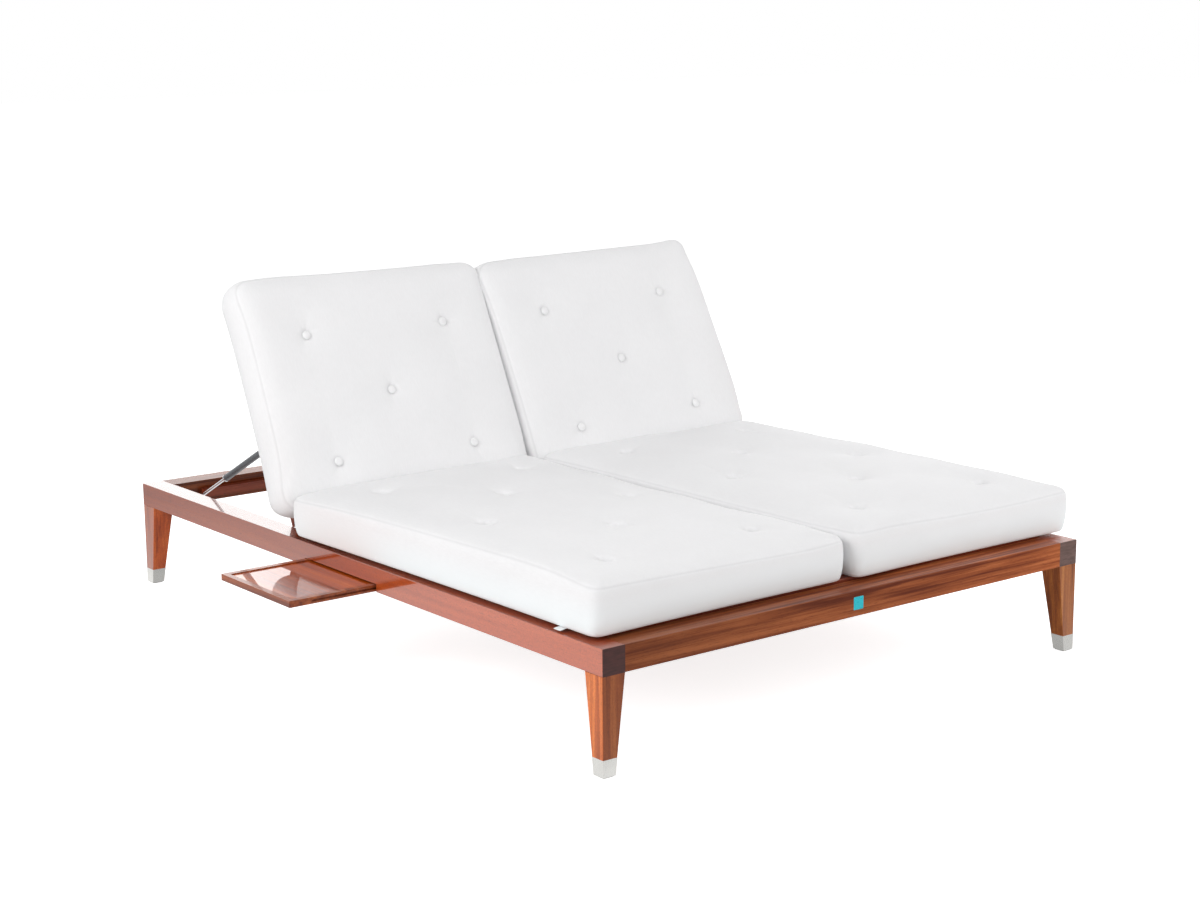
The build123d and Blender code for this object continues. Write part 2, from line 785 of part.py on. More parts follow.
def make_tray(name, side):
    """One side tray drawn out: a grooved frame, its let-in panel and two stop pegs."""
    peg_x = side * (inner_half_width - tray_peg_gap - tray_peg_diameter / 2)
    peg_rows = (tray_front_y + tray_rim / 2, tray_rear_y - tray_rim / 2)
    pegs = [
        rod_at(
            (peg_x, y, tray_top - tray_peg_depth),
            (0, 0, 1),
            tray_peg_diameter / 2,
            tray_peg_depth + tray_top_gap + tray_peg_rise,
        )
        for y in peg_rows
    ]
    panel_top = tray_top - tray_recess
    panel_limits = (
        (side * (tray_inner + tray_rim - tray_panel_tongue), side * (tray_outer - tray_rim + tray_panel_tongue)),
        (tray_front_y + tray_rim - tray_panel_tongue, tray_rear_y - tray_rim + tray_panel_tongue),
        (panel_top - tray_panel_thickness, panel_top),
    )

    with BuildPart() as tray_frame:
        block((side * tray_inner, side * tray_outer), (tray_front_y, tray_rear_y), (tray_bottom, tray_top))
        outer_face = tray_frame.faces().sort_by(Axis.X)[0 if side < 0 else -1]
        fillet(outer_face.edges(), radius=tray_edge_round)
        block(
            (side * (tray_inner + tray_rim), side * (tray_outer - tray_rim)),
            (tray_front_y + tray_rim, tray_rear_y - tray_rim),
            (tray_bottom, tray_top),
            mode=Mode.SUBTRACT,
        )
        block(*panel_limits, mode=Mode.SUBTRACT)
        for y, inward in ((tray_front_y, 1), (tray_rear_y, -1)):
            block(
                (side * tray_inner, side * (tray_outer - side_rail_width + tray_groove_gap)),
                (y, y + inward * tray_groove_depth),
                (groove_bottom, groove_top),
                mode=Mode.SUBTRACT,
            )
        add(pegs, mode=Mode.SUBTRACT)
    save(tray_frame, f"tray_frame_{name}")

    with BuildPart() as tray_panel:
        block(*panel_limits)
    save(tray_panel, f"tray_panel_{name}")

    with BuildPart() as tray_stops:
        add(pegs)
    save(tray_stops, f"tray_stops_{name}")


for name, side in sides.items():
    make_tray(name, side)


def cushion_plan(plane, width, length, corner):
    """The cushion's outline: four sides drawn in between rounded corners."""
    with BuildSketch(plane) as plan:
        with BuildLine():
            front = ThreePointArc(
                (-width / 2, -length / 2), (0, cushion_draw_in - length / 2), (width / 2, -length / 2)
            )
            right = ThreePointArc(front @ 1, (width / 2 - cushion_draw_in, 0), (width / 2, length / 2))
            rear = ThreePointArc(right @ 1, (0, length / 2 - cushion_draw_in), (-width / 2, length / 2))
            ThreePointArc(rear @ 1, (cushion_draw_in - width / 2, 0), front @ 0)
        make_face()
        fillet(plan.vertices(), radius=corner)
    return plan.sketch


def tuft_places(length, rows, pitch_share, column_share, shift_share):
    """Buttons in a diamond pattern: pairs on even rows and singles between them."""
    pitch, shift, column = length * pitch_share, length * shift_share, cushion_width * column_share
    middle = (rows - 1) / 2
    places = []
    for row in range(rows):
        y = (row - middle) * pitch - shift
        if row % 2 == 0:
            places += [(-column, y), (column, y)]
        else:
            places.append((0, y))
    return places


def make_cushion(kind, name, plane, length, thickness, crown, inset_share, tufts):
    """A boxed cushion on a plane at its underside's middle, with crown, tufts and their buttons."""
    dimple_floor = thickness + tuft_rise
    button_floor = dimple_floor - button_sink
    crown_inset = min(cushion_width, length) * inset_share
    top_side = min(cushion_width, length) - 2 * crown_inset
    corner_growth = top_side * crown_top_corner_share - cushion_corner
    with BuildPart(plane) as cushion:
        extrude(cushion_plan(plane, cushion_width, length, cushion_corner), amount=thickness)
        underside = cushion.faces().filter_by(GeomType.PLANE).sort_by(Axis(plane.origin, plane.z_dir))[0]
        fillet(underside.edges(), radius=cushion_bottom_round)
        slices = [
            cushion_plan(
                plane.offset(thickness + rise * crown),
                cushion_width - 2 * inset * crown_inset,
                length - 2 * inset * crown_inset,
                cushion_corner + inset * corner_growth,
            )
            for rise, inset in zip(crown_rise_shares, crown_inset_shares)
        ]
        loft(slices)
        for x, y in tufts:
            with Locations((x, y, dimple_floor + tuft_radius)):
                Sphere(tuft_radius, mode=Mode.SUBTRACT)
            with Locations((x, y, button_floor)):
                Cylinder(
                    button_diameter / 2 + button_seat_gap,
                    button_height,
                    align=(Align.CENTER, Align.CENTER, Align.MIN),
                    mode=Mode.SUBTRACT,
                )
    save(cushion, f"{kind}_cushion_{name}")

    with BuildPart(plane) as buttons:
        for x, y in tufts:
            with Locations((x, y, button_floor)):
                Cylinder(button_diameter / 2, button_height, align=(Align.CENTER, Align.CENTER, Align.MIN))
        crests = buttons.edges().filter_by(GeomType.CIRCLE).group_by(Axis(plane.origin, plane.z_dir))[-1]
        fillet(crests, radius=button_edge)
    save(buttons, f"{kind}_buttons_{name}")


seat_cushion_length = seat_cushion_rear_y - seat_cushion_front_y
seat_cushion_middle_y = (seat_cushion_rear_y + seat_cushion_front_y) / 2
back_cushion_length = back_cushion_end - back_cushion_start
seat_tufts = tuft_places(
    seat_cushion_length,
    seat_tuft_rows,
    seat_tuft_pitch_share,
    seat_tuft_column_share,
    seat_tuft_shift_share,
)
back_tufts = tuft_places(
    back_cushion_length,
    back_tuft_rows,
    back_tuft_pitch_share,
    back_tuft_column_share,
    back_tuft_shift_share,
)
for name, side in sides.items():
    make_cushion(
        "seat",
        name,
        Plane(origin=(side * cushion_middle_x, seat_cushion_middle_y, deck_top + soft_gap)),
        seat_cushion_length,
        seat_thickness,
        seat_crown,
        seat_crown_inset_share,
        seat_tufts,
    )
    middle = back_up * (back_cushion_start + back_cushion_length / 2) + back_out * cushion_foot
    make_cushion(
        "back",
        name,
        Plane(
            origin=hinge_point + middle + Vector(side * cushion_middle_x, 0, 0),
            x_dir=(1, 0, 0),
            z_dir=back_out,
        ),
        back_cushion_length,
        back_cushion_thickness,
        back_crown,
        back_crown_inset_share,
        back_tufts,
    )

# A small fabric tab is sewn under the left seat cushion near its foot end
with BuildPart() as cushion_tab:
    tab_outer = cushion_middle_x + cushion_width / 2 - tab_from_side
    tab_y = seat_cushion_front_y + tab_from_front
    block(
        (-tab_outer, tab_width - tab_outer),
        (tab_y, tab_y + tab_length),
        (deck_top + soft_gap - tab_thickness, deck_top + soft_gap),
    )
save(cushion_tab, "cushion_tab")
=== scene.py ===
import json
from math import cos, pi, radians, sin

import bpy
import numpy as np
from mathutils import Matrix, Vector


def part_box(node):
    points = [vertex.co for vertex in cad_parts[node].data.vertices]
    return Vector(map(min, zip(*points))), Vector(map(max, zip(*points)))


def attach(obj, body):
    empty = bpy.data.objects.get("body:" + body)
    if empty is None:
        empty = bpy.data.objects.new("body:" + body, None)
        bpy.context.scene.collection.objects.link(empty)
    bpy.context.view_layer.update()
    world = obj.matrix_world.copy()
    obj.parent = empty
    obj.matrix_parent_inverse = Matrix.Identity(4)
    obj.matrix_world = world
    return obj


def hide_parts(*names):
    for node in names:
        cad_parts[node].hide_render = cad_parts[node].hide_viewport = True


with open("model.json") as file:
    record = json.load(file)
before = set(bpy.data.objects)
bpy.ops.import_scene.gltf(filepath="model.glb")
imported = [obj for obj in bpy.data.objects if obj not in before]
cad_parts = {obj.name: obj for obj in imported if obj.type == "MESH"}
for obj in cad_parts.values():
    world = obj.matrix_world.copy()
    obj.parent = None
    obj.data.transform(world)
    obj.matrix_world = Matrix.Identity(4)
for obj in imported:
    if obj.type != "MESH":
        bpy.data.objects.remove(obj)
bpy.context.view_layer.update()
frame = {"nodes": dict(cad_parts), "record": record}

# A double chaise lounger. Metres, X across, Y from foot to head, Z up, origin on the floor.

nodes = frame["nodes"]
scene = bpy.context.scene
SIDES = {"left": -1, "right": 1}

# Places and sizes that the cushions share with the CAD model
CUSHION_MIDDLE_X = 0.3725
CUSHION_WIDTH = 0.728
CUSHION_DRAW_IN = 0.005
SEAT_MIDDLE_Y = -0.3829
SEAT_FLOOR = 0.2873
HINGE = Vector((0, 0.315, 0.270))
RECLINE = radians(65)
BACK_MIDDLE = 0.332
BACK_FLOOR = 0.0173
BUTTON_RADIUS = 0.0120

# The two kinds of cushion. Tufts: rows along the length, their pitch and shift as shares of the length, and
# their column as a share of the width. The pit rise is the height of the tufts' floor over the seam, and the
# painted light side is how much painted light, a lighter and less red colour against the shade and the wood's red
# glow, goes low on the sides
CUSHIONS = {
    "seat": {
        "length": 1.1943, "thickness": 0.100, "crown": 0.030, "corner": 0.028, "rows": 5, "pitch": 0.181,
        "column": 0.2915, "shift": 0.01, "pit_rise": 0.004, "button_lift": -0.0015, "painted_light_side": 1.0, "seed": 11,
    },
    "back": {
        "length": 0.584, "thickness": 0.105, "crown": 0.022, "corner": 0.038, "rows": 3, "pitch": 0.2877,
        "column": 0.2845, "shift": 0.0548, "pit_rise": 0.013, "button_lift": 0.0018, "painted_light_side": 0.1, "seed": 41,
    },
}

# How each loose cushion lies in its place: shifts along its own X and Y, and a turn
LAYS = {
    "seat_left": (0.006, 0.0, radians(0.9)),
    "seat_right": (0.023, 0.0, radians(0.3)),
    "back_left": (0.0025, -0.003, radians(-0.4)),
    "back_right": (0.006, -0.002, radians(2.6)),
}
EXTRA_FILL = {"back_right": 0.012}

# How each cushion's edges stray from a plain box: the seam's rise, the side's bulge and where needed its extra
# belly, at even steps along a side. Left and right sides run from foot to head, front and rear sides from left
# to right
EDGES = {
    "seat_left": {
        "left": ((0.006, 0.018, 0.014, 0.009, 0.002, -0.010), (0.004, 0.004)),
        "front": ((0.006, 0.001, -0.004, -0.009, -0.011), (0.004, 0.004)),
        "right": ((-0.002, -0.003, -0.003, -0.001), (0.001, -0.002, 0.001)),
        "rear": ((-0.008, -0.004, -0.006), (0.002, 0.002)),
    },
    "seat_right": {
        "left": ((0.005, -0.001, -0.002, -0.004), (0.008, 0.002, 0.003)),
        "front": ((0.007, 0.004, -0.003, -0.004, 0.000), (0.004, 0.005)),
        "right": ((0.002, 0.005, 0.003, -0.003), (0.004, 0.004)),
        "rear": ((-0.005, -0.002, -0.006), (0.002, 0.002)),
    },
    "back_left": {
        "left": ((0.000, 0.003, 0.000), (0.003, 0.004, -0.002), (0.006, 0.006, 0.008)),
        "front": ((-0.004, 0.000, -0.004), (0.036, 0.011, 0.006)),
        "right": ((0.000, 0.004, 0.002), (0.018, 0.014, 0.005)),
        "rear": ((-0.004, 0.001, -0.002), (0.020, 0.015, 0.014, 0.013)),
    },
    "back_right": {
        "left": ((0.000, 0.003, 0.000), (0.009, 0.007, 0.004), (0.010, 0.008, 0.002)),
        "front": ((-0.004, 0.000, -0.004), (0.006, 0.006)),
        "right": ((0.000, 0.004, 0.002), (0.024, 0.022, 0.006)),
        "rear": ((-0.004, 0.001, -0.002), (0.019, 0.011, 0.001, -0.015)),
    },
}
# How far these reach inwards, and the bulge's share in the top, in the bottom and, by a sine, up the sides
EDGE_FADE = 0.07
PUSH_ON_TOP, PUSH_BELOW, PUSH_TURN = 0.8, 0.25, 2.2

# A cushion's form: the top's shoulder and crown, the round at the bottom, the belly of the sides and slow waves
SHOULDER_WIDTH, SHOULDER_RISE = 0.042, 0.015
CROWN_REACH, CROWN_LESS = 0.19, 0.013
BOTTOM_ROUND = 0.011
BELLY = 0.0035
TOP_WAVE, TOP_WAVE_LENGTHS, TOP_WAVE_INSET = 0.0018, (0.16, 0.4), 0.03
SIDE_WAVE, SIDE_WAVE_LENGTHS, SIDE_WAVE_LOWEST = 0.0032, (0.10, 0.26), -0.001

# Its grid: quad size, steps in from the edges, levels up the sides, and the finer quads at the tufts
GRID_SPACING = 0.0125
EDGE_STEPS = np.array((0, 0.0025, 0.006, 0.011, 0.018, 0.027, 0.038))
SIDE_LEVELS = np.concatenate([np.linspace(0, 0.78, 8)[1:], (0.84, 0.89, 0.93, 0.965)])
TUFT_DENSITY, TUFT_DENSITY_REACH = 3.2, 0.017
TOP, SIDE, BOTTOM = 0.0, 1.0, 2.0
ON_SEAM = 0.001

# Its tufts: a flat floor, a cone round it and a wide dip, with their shares of the depth
FLOOR_REACH, FLOOR_SHARE = 0.0175, 0.45
CONE_REACH, CONE_TIP, CONE_SHARE = 0.024, 0.005, 0.37
DIP_REACH, DIP_SHARE = 0.055, 0.18
LEAST_PIT = 0.004
FOLDS, FOLD_DEPTH, FOLD_START, FOLD_MIDDLE = 6, 0.0016, 0.009, 0.016

# Its seam: puckers beside it and how far it is pulled in
PUCKER_PITCH, PUCKER_DEPTH, PUCKER_MIDDLE, PUCKER_REACH = 0.021, 0.0004, 0.006, 0.010
PUCKER_WAVE_LENGTHS = (0.05, 0.12)
SEAM_PULL = 0.0022

# Its painted shade and light: darker lines painted along the seam and round the tufts' rims as painted shade, and
# where the painted light low on the sides fades out
SEAM_SHADE, TUFT_SHADE, TUFT_SHADE_REACH = 0.33, 0.4, 0.0158
PAINTED_LIGHT_TOP, PAINTED_LIGHT_FADE = 0.085, 0.073

# Its cloth simulation: the pressure, the steps, the furthest that a point moves, and where points are held by
# the underside's edge, low on the sides and at the tufts. Then how far the result may pass the plain box
PRESSURE, CLOTH_STEPS, CLOTH_CAP = 4.0, 20, 0.010
HELD_BOTTOM_EDGE, HELD_SIDE, HELD_BY_TUFT, HELD_AT_TUFT = 0.02, 0.2, 0.024, 0.017
MOST_ASIDE, MOST_FORWARD, MOST_BACKWARD = 0.028, 0.037, 0.026

# Buttons: (share of the radius, share of the height) of each ring below the crest, down to the tucked rim
BUTTON_HEIGHT = 0.0055
BUTTON_RINGS = ((0.30, 0.965), (0.58, 0.86), (0.80, 0.66), (0.94, 0.40), (1.0, 0.12), (0.93, -0.3), (0.7, -0.6))
BUTTON_SEGMENTS = 28
# The buttons' tucked rim is painted darker, as painted shade under it
BUTTON_RIM, BUTTON_RIM_SHADE = 0.2, 0.5

# The fabric tab: grid points, curl at its free edge, arch along it, and thickness
TAB_ACROSS, TAB_ALONG = 9, 7
TAB_CURL, TAB_ARCH, TAB_SINK, TAB_THICKNESS = 0.0022, 0.0004, 0.0004, 0.0007

# Camera, fitted to the frame's corners in the photograph
CAMERA_AT = Vector((-3.3962, -4.4401, 1.5783))
CAMERA_YAW = radians(37.93)
CAMERA_PITCH = radians(11.53)
CAMERA_ROLL = radians(-0.42)
CAMERA_LENS = 66.08
CAMERA_SENSOR = 36

# Studio: light from the world and the floor's glow. In mirrors both are dim along a direction from the front,
# as (start, end, share at the start, share at the end)
WORLD_COLOUR, WORLD_LIGHT = (1.0, 0.995, 1.0, 1), 0.46
FLOOR_COLOUR, FLOOR_GLOW = (0.8, 0.8, 0.8, 1), 0.79
FLOOR_HALF = 30
BACKWARD = (-0.3, 1.0, 0.0)
WORLD_MIRRORED = (-0.6, 0.0, 0.6, 1.0)
FLOOR_MIRRORED_NEAR = (-2.2, -0.5, 0.35, 1.0)
FLOOR_MIRRORED_FAR = (1.2, 2.4, 1.0, 0.6)
WHITE = (1, 1, 1, 1)

# Lights: name, place, aim, width, height, watts and whether it shows in varnish and metal only
LIGHTS = (
    ("left", (-4.0, -0.6, 2.4), (0, 0, 0.3), 2.4, 2.0, 90, False),
    ("right", (4.0, -0.6, 2.4), (0, 0, 0.3), 2.4, 2.0, 28, False),
    ("front_right", (2.6, -4.0, 2.6), (0, 0, 0.3), 2.6, 2.6, 68, False),
    ("front", (-0.5, -4.6, 1.6), (0, 0, 0.3), 2.6, 1.8, 18, False),
    ("rear", (0.5, 4.2, 3.0), (0, 0.4, 0.4), 3.0, 2.0, 42, False),
    ("back_right", (2.8, 4.6, 1.5), (0, 0, 0.4), 6.0, 2.8, 55, False),
    ("back_right_sheen", (2.8, 4.6, 1.5), (0, 0, 0.4), 6.0, 2.8, 205, True),
)


def bare_tree(owner):
    """The emptied node tree of a material or world."""
    owner.use_nodes = True
    owner.node_tree.nodes.clear()
    return owner.node_tree


def feed(tree, node, key, value):
    """Sets an input of a node to a value, or links it to a socket."""
    if isinstance(value, bpy.types.NodeSocket):
        tree.links.new(value, node.inputs[key])
    else:
        node.inputs[key].default_value = value


def made(tree, kind, inputs=None, **settings):
    """A new node with its settings, and its inputs set or linked."""
    node = tree.nodes.new(kind)
    for key, value in settings.items():
        setattr(node, key, value)
    for key, value in (inputs or {}).items():
        feed(tree, node, key, value)
    return node


def shader(name):
    """A new material with one Principled shader, as (material, tree, shader)."""
    material = bpy.data.materials.new(name)
    tree = bare_tree(material)
    bsdf = made(tree, "ShaderNodeBsdfPrincipled")
    made(tree, "ShaderNodeOutputMaterial", {"Surface": bsdf.outputs["BSDF"]})
    return material, tree, bsdf


def coordinates(tree, scale=(1, 1, 1), attribute=None):
    """Points of the piece, stretched by a scale along each axis."""
    if attribute:
        source = made(tree, "ShaderNodeAttribute", attribute_name=attribute).outputs["Vector"]
    else:
        source = made(tree, "ShaderNodeTexCoord").outputs["Object"]
    return made(tree, "ShaderNodeMapping", {"Vector": source, "Scale": scale}).outputs["Vector"]


def noise(tree, vector, detail=2.0, roughness=0.5, distortion=0.0):
    """A noise texture's value, from 0 to 1 and mostly from 0.3 to 0.7."""
    return made(
        tree,
        "ShaderNodeTexNoise",
        {"Vector": vector, "Scale": 1.0, "Detail": detail, "Roughness": roughness, "Distortion": distortion},
    ).outputs["Fac"]


def ramp(tree, factor, stops):
    """A colour ramp with (position, colour) stops."""
    node = made(tree, "ShaderNodeValToRGB", {"Fac": factor})
    band = node.color_ramp
    while len(band.elements) < len(stops):
        band.elements.new(0.5)
    for element, (position, colour) in zip(band.elements, stops):
        element.position = position
        element.color = (*colour, 1)
    return node.outputs["Color"]


def grey(tree, factor, low, high, low_value=0.0, high_value=1.0):
    """A factor stretched so that low becomes low_value and high becomes high_value."""
    node = made(
        tree,
        "ShaderNodeMapRange",
        {"Value": factor, "From Min": low, "From Max": high, "To Min": low_value, "To Max": high_value},
    )
    return node.outputs["Result"]


def evened(tree, value, low, high):
    """A noise's usual range stretched to run from low to high."""
    return grey(tree, value, 0.3, 0.7, low, high)


def blended(tree, factor, first, second):
    """Two colours mixed by a factor, each a socket or a plain colour."""
    colours = [
        colour if isinstance(colour, bpy.types.NodeSocket) else (*colour, 1) for colour in (first, second)
    ]
    mix = made(tree, "ShaderNodeMix", {0: factor, 6: colours[0], 7: colours[1]}, data_type="RGBA")
    return mix.outputs[2]


def calculated(tree, operation, first, second=0.0):
    """One sum on values."""
    return made(tree, "ShaderNodeMath", {0: first, 1: second}, operation=operation).outputs["Value"]


def lit_by(tree, colour, factor):
    """A colour times a factor."""
    node = made(tree, "ShaderNodeVectorMath", {0: colour, "Scale": factor}, operation="SCALE")
    return node.outputs["Vector"]


def along_axes(tree, vector):
    """The X, Y and Z values of a vector."""
    return made(tree, "ShaderNodeSeparateXYZ", {"Vector": vector}).outputs


def facing(tree):
    """The X, Y and Z values of the surface's own direction."""
    return along_axes(tree, made(tree, "ShaderNodeTexCoord").outputs["Normal"])


def bumped(tree, bsdf, height, strength, distance):
    """Fine relief from a height."""
    bump = made(tree, "ShaderNodeBump", {"Height": height, "Strength": strength, "Distance": distance})
    feed(tree, bsdf, "Normal", bump.outputs["Normal"])


def times(colour, share):
    """A plain colour times a share, at most 1."""
    return tuple(min(1.0, value * share) for value in colour)


def from_srgb(red, green, blue):
    """A colour written as 0 to 255 values on a screen, as the linear values that shaders use."""
    linear = []
    for value in (red, green, blue):
        share = value / 255
        linear.append(share / 12.92 if share <= 0.04045 else ((share + 0.055) / 1.055) ** 2.4)
    return tuple(linear)


def tones(*colours):
    """A wood's dark, middle and light colours, from their values on a screen."""
    return tuple(from_srgb(*colour) for colour in colours)


def wood(
    name, along, dark, middle, light, stripe=0.010, end_grain=None, coat=0.7, coat_ior=1.5, haze=0.09, gloss=0.15,
    side_painted_light=1.0, side_coat=None, fleck=0.0, tone=None,
):
    """Varnished wood with its grain along an axis: ribbon stripes, growth lines and pores under a clear coat.
    The sides facing along X are painted lighter or darker by a factor, as painted light, and those sides may have
    a coat of their own. The colour grows lighter or darker along the grain by the tone, as (start, end, share at
    the start, share at the end)."""
    material, tree, bsdf = shader(name)

    def stretched(across, length):
        scale = [1 / across] * 3
        scale[along] = 1 / length
        return coordinates(tree, scale)

    ribbon = noise(tree, stretched(stripe * 2.2, stripe * 70), detail=3, roughness=0.55, distortion=0.35)
    broad = noise(tree, stretched(stripe * 9, stripe * 90), detail=2, roughness=0.5)
    lines = noise(tree, stretched(stripe * 0.35, stripe * 40), detail=2, roughness=0.6)
    pores = noise(tree, stretched(0.0011, 0.016), detail=1, roughness=0.5)
    figure = calculated(tree, "ADD", evened(tree, ribbon, 0, 0.62), evened(tree, broad, 0, 0.26))
    figure = calculated(tree, "ADD", figure, evened(tree, lines, 0, 0.16))
    colour = ramp(tree, figure, [(0.22, dark), (0.52, middle), (0.84, light)])
    pore_mask = grey(tree, pores, 0.62, 0.72, 0, 0.45)
    colour = blended(tree, pore_mask, colour, times(dark, 0.35))
    if tone:
        place = along_axes(tree, coordinates(tree))[along]
        colour = lit_by(tree, colour, grey(tree, place, *tone))
    if fleck:
        spots = noise(tree, coordinates(tree, (240, 240, 240)), detail=3, roughness=0.65)
        colour = lit_by(tree, colour, grey(tree, spots, 0.35, 0.65, 1 - fleck, 1 + fleck))
    split = facing(tree)
    aside = calculated(tree, "ABSOLUTE", split[0])
    feed(tree, bsdf, "Coat Weight", coat)
    # Painted light: sides facing along X are made lighter or darker
    if side_painted_light != 1.0:
        colour = lit_by(tree, colour, grey(tree, aside, 0.6, 0.9, 1.0, side_painted_light))
    if side_coat:
        feed(tree, bsdf, "Coat Weight", grey(tree, aside, 0.6, 0.9, coat, side_coat))
    if end_grain:
        mask = grey(tree, calculated(tree, "ABSOLUTE", split[along]), 0.9, 0.96)
        specks = noise(tree, coordinates(tree, (900, 900, 900)), detail=1)
        rings = noise(tree, coordinates(tree, (35, 35, 160)), detail=2, distortion=0.4)
        cut = ramp(tree, rings, [(0.3, times(end_grain, 0.75)), (0.7, times(end_grain, 1.25))])
        cut = blended(tree, grey(tree, specks, 0.55, 0.7, 0, 0.5), cut, times(end_grain, 0.4))
        colour = blended(tree, mask, colour, cut)
        feed(tree, bsdf, "Coat Weight", grey(tree, mask, 0, 1, coat, coat * 0.3))
    feed(tree, bsdf, "Base Color", colour)
    feed(tree, bsdf, "Roughness", evened(tree, lines, 0.34, 0.46))
    bumped(tree, bsdf, calculated(tree, "SUBTRACT", lines, pore_mask), 0.12, 0.0004)
    feed(tree, bsdf, "Coat Roughness", haze)
    feed(tree, bsdf, "Coat IOR", coat_ior)
    feed(tree, bsdf, "IOR", 1.5)
    feed(tree, bsdf, "Specular IOR Level", gloss)
    return material


def metal(name, colour, roughness, brushed=None, metallic=1.0, inner_painted_shade=1.0):
    """Metal with fine brush lines along an axis, or with faint mottling where it is None. Faces that look
    towards the middle of the object are painted darker by a factor: painted shade for the dark underside that they
    reflect."""
    material, tree, bsdf = shader(name)
    if brushed is None:
        scale = [160.0] * 3
    else:
        scale = [2600.0] * 3
        scale[brushed] = 60.0
    grain = noise(tree, coordinates(tree, scale), detail=2, roughness=0.6)
    smudge = noise(tree, coordinates(tree, (18, 18, 18)), detail=2)
    shade = blended(tree, evened(tree, smudge, 0, 0.5), colour, times(colour, 0.86))
    # Painted shade: faces looking towards the middle are darker
    if inner_painted_shade != 1.0:
        towards, place = facing(tree), along_axes(tree, coordinates(tree))
        outward = [calculated(tree, "MULTIPLY", towards[axis], place[axis]) for axis in (0, 1)]
        inward = calculated(tree, "MINIMUM", *outward)
        shade = lit_by(tree, shade, grey(tree, inward, -0.4, -0.8, 1.0, inner_painted_shade))
    feed(tree, bsdf, "Base Color", shade)
    feed(tree, bsdf, "Roughness", evened(tree, grain, roughness * 0.8, roughness * 1.25))
    bumped(tree, bsdf, grain, 0.08, 0.0002)
    feed(tree, bsdf, "Metallic", metallic)
    return material


def coated(name, colour, roughness, speckle=0.06):
    """Paint, enamel or plastic with a faint mottle and orange peel."""
    material, tree, bsdf = shader(name)
    mottle = noise(tree, coordinates(tree, (260, 260, 260)), detail=3)
    stops = [(0.3, times(colour, 1 - speckle)), (0.7, times(colour, 1 + speckle))]
    feed(tree, bsdf, "Base Color", ramp(tree, mottle, stops))
    feed(tree, bsdf, "Roughness", evened(tree, mottle, roughness * 0.85, roughness * 1.15))
    bumped(tree, bsdf, noise(tree, coordinates(tree, (1500, 1500, 1500)), detail=1), 0.05, 0.0002)
    return material


def canvas(name, colour, painted_light_low, thread):
    """White woven canvas: threads over and under, slubs, painted light low on the sides, and painted shade along
    the seam and round the tufts.
    """
    material, tree, bsdf = shader(name)
    place = along_axes(tree, made(tree, "ShaderNodeAttribute", attribute_name="weave_at").outputs["Vector"])
    turned = [calculated(tree, "MULTIPLY", place[axis], 2 * pi / thread) for axis in range(3)]
    rows = [calculated(tree, "SINE", turn) for turn in turned]
    pairs = [calculated(tree, "MULTIPLY", rows[i], rows[j]) for i, j in ((0, 1), (1, 2), (0, 2))]
    weave = calculated(tree, "ADD", calculated(tree, "ADD", pairs[0], pairs[1]), pairs[2])
    slub = noise(tree, coordinates(tree, (420, 60, 240), "weave_at"), detail=2, roughness=0.6)
    cloud = noise(tree, coordinates(tree, (7, 7, 7), "weave_at"), detail=3)
    wear = calculated(tree, "ADD", evened(tree, slub, 0, 0.6), evened(tree, cloud, 0, 0.4))
    tone = ramp(tree, wear, [(0.1, times(colour, 0.97)), (0.9, times(colour, 1.012))])
    # Painted light: low on the sides the colour turns lighter and less red, against the shade and red glow from
    # the wood
    low = made(tree, "ShaderNodeAttribute", attribute_name="painted_light_side").outputs["Fac"]
    tone = blended(tree, low, tone, painted_light_low)
    # Painted shade: darker along the seam, round the tufts' rims and under the buttons' rims
    seam = made(tree, "ShaderNodeAttribute", attribute_name="painted_shade_line").outputs["Fac"]
    feed(tree, bsdf, "Base Color", blended(tree, seam, tone, times(colour, 0.72)))
    height = calculated(tree, "ADD", calculated(tree, "MULTIPLY", weave, 0.5), slub)
    bumped(tree, bsdf, height, 0.25, 0.00025)
    feed(tree, bsdf, "Roughness", 0.88)
    feed(tree, bsdf, "Specular IOR Level", 0.25)
    feed(tree, bsdf, "Sheen Weight", 0.12)
    feed(tree, bsdf, "Sheen Roughness", 0.5)
    return material


# Materials
MAHOGANY = tones((100, 42, 20), (149, 78, 42), (184, 106, 62))
PLAIN = tones((144, 56, 16), (156, 64, 21), (167, 73, 27))
ORANGE = tones((104, 46, 16), (138, 68, 28), (164, 91, 42))
# Copies of the leg wood coloured as painted light: a paler one where the front right leg's foot face shows light
# and reflection, and a warmer one for the head legs' faces that show deep colour without sheen
LEG_RIGHT_PAINTED_LIGHT = tones((124, 61, 21), (163, 91, 37), (193, 120, 54))
LEG_HEAD_PAINTED_LIGHT = tones((142, 56, 17), (188, 83, 29), (221, 110, 44))
TRAY_RIM = tones((112, 48, 20), (148, 72, 32), (176, 94, 48))
TRAY_ORANGE = tones((126, 46, 10), (178, 76, 16), (206, 102, 28))
RED_DEEP = tones((88, 34, 20), (122, 52, 31), (146, 72, 46))
# End grain of the side rails; the right one is painted lighter and greyer, as painted light and sheen at the right
# foot end
END_GRAINS_WITH_PAINTED_LIGHT = {"left": from_srgb(68, 30, 26), "right": from_srgb(108, 84, 78)}
ferrule_colour = from_srgb(236, 235, 231)
# The canvas's second colour, lighter and less red, is painted light for low on the sides
white_canvas = canvas("white_canvas", (0.866, 0.864, 0.870), (0.930, 0.985, 0.995), thread=0.0009)

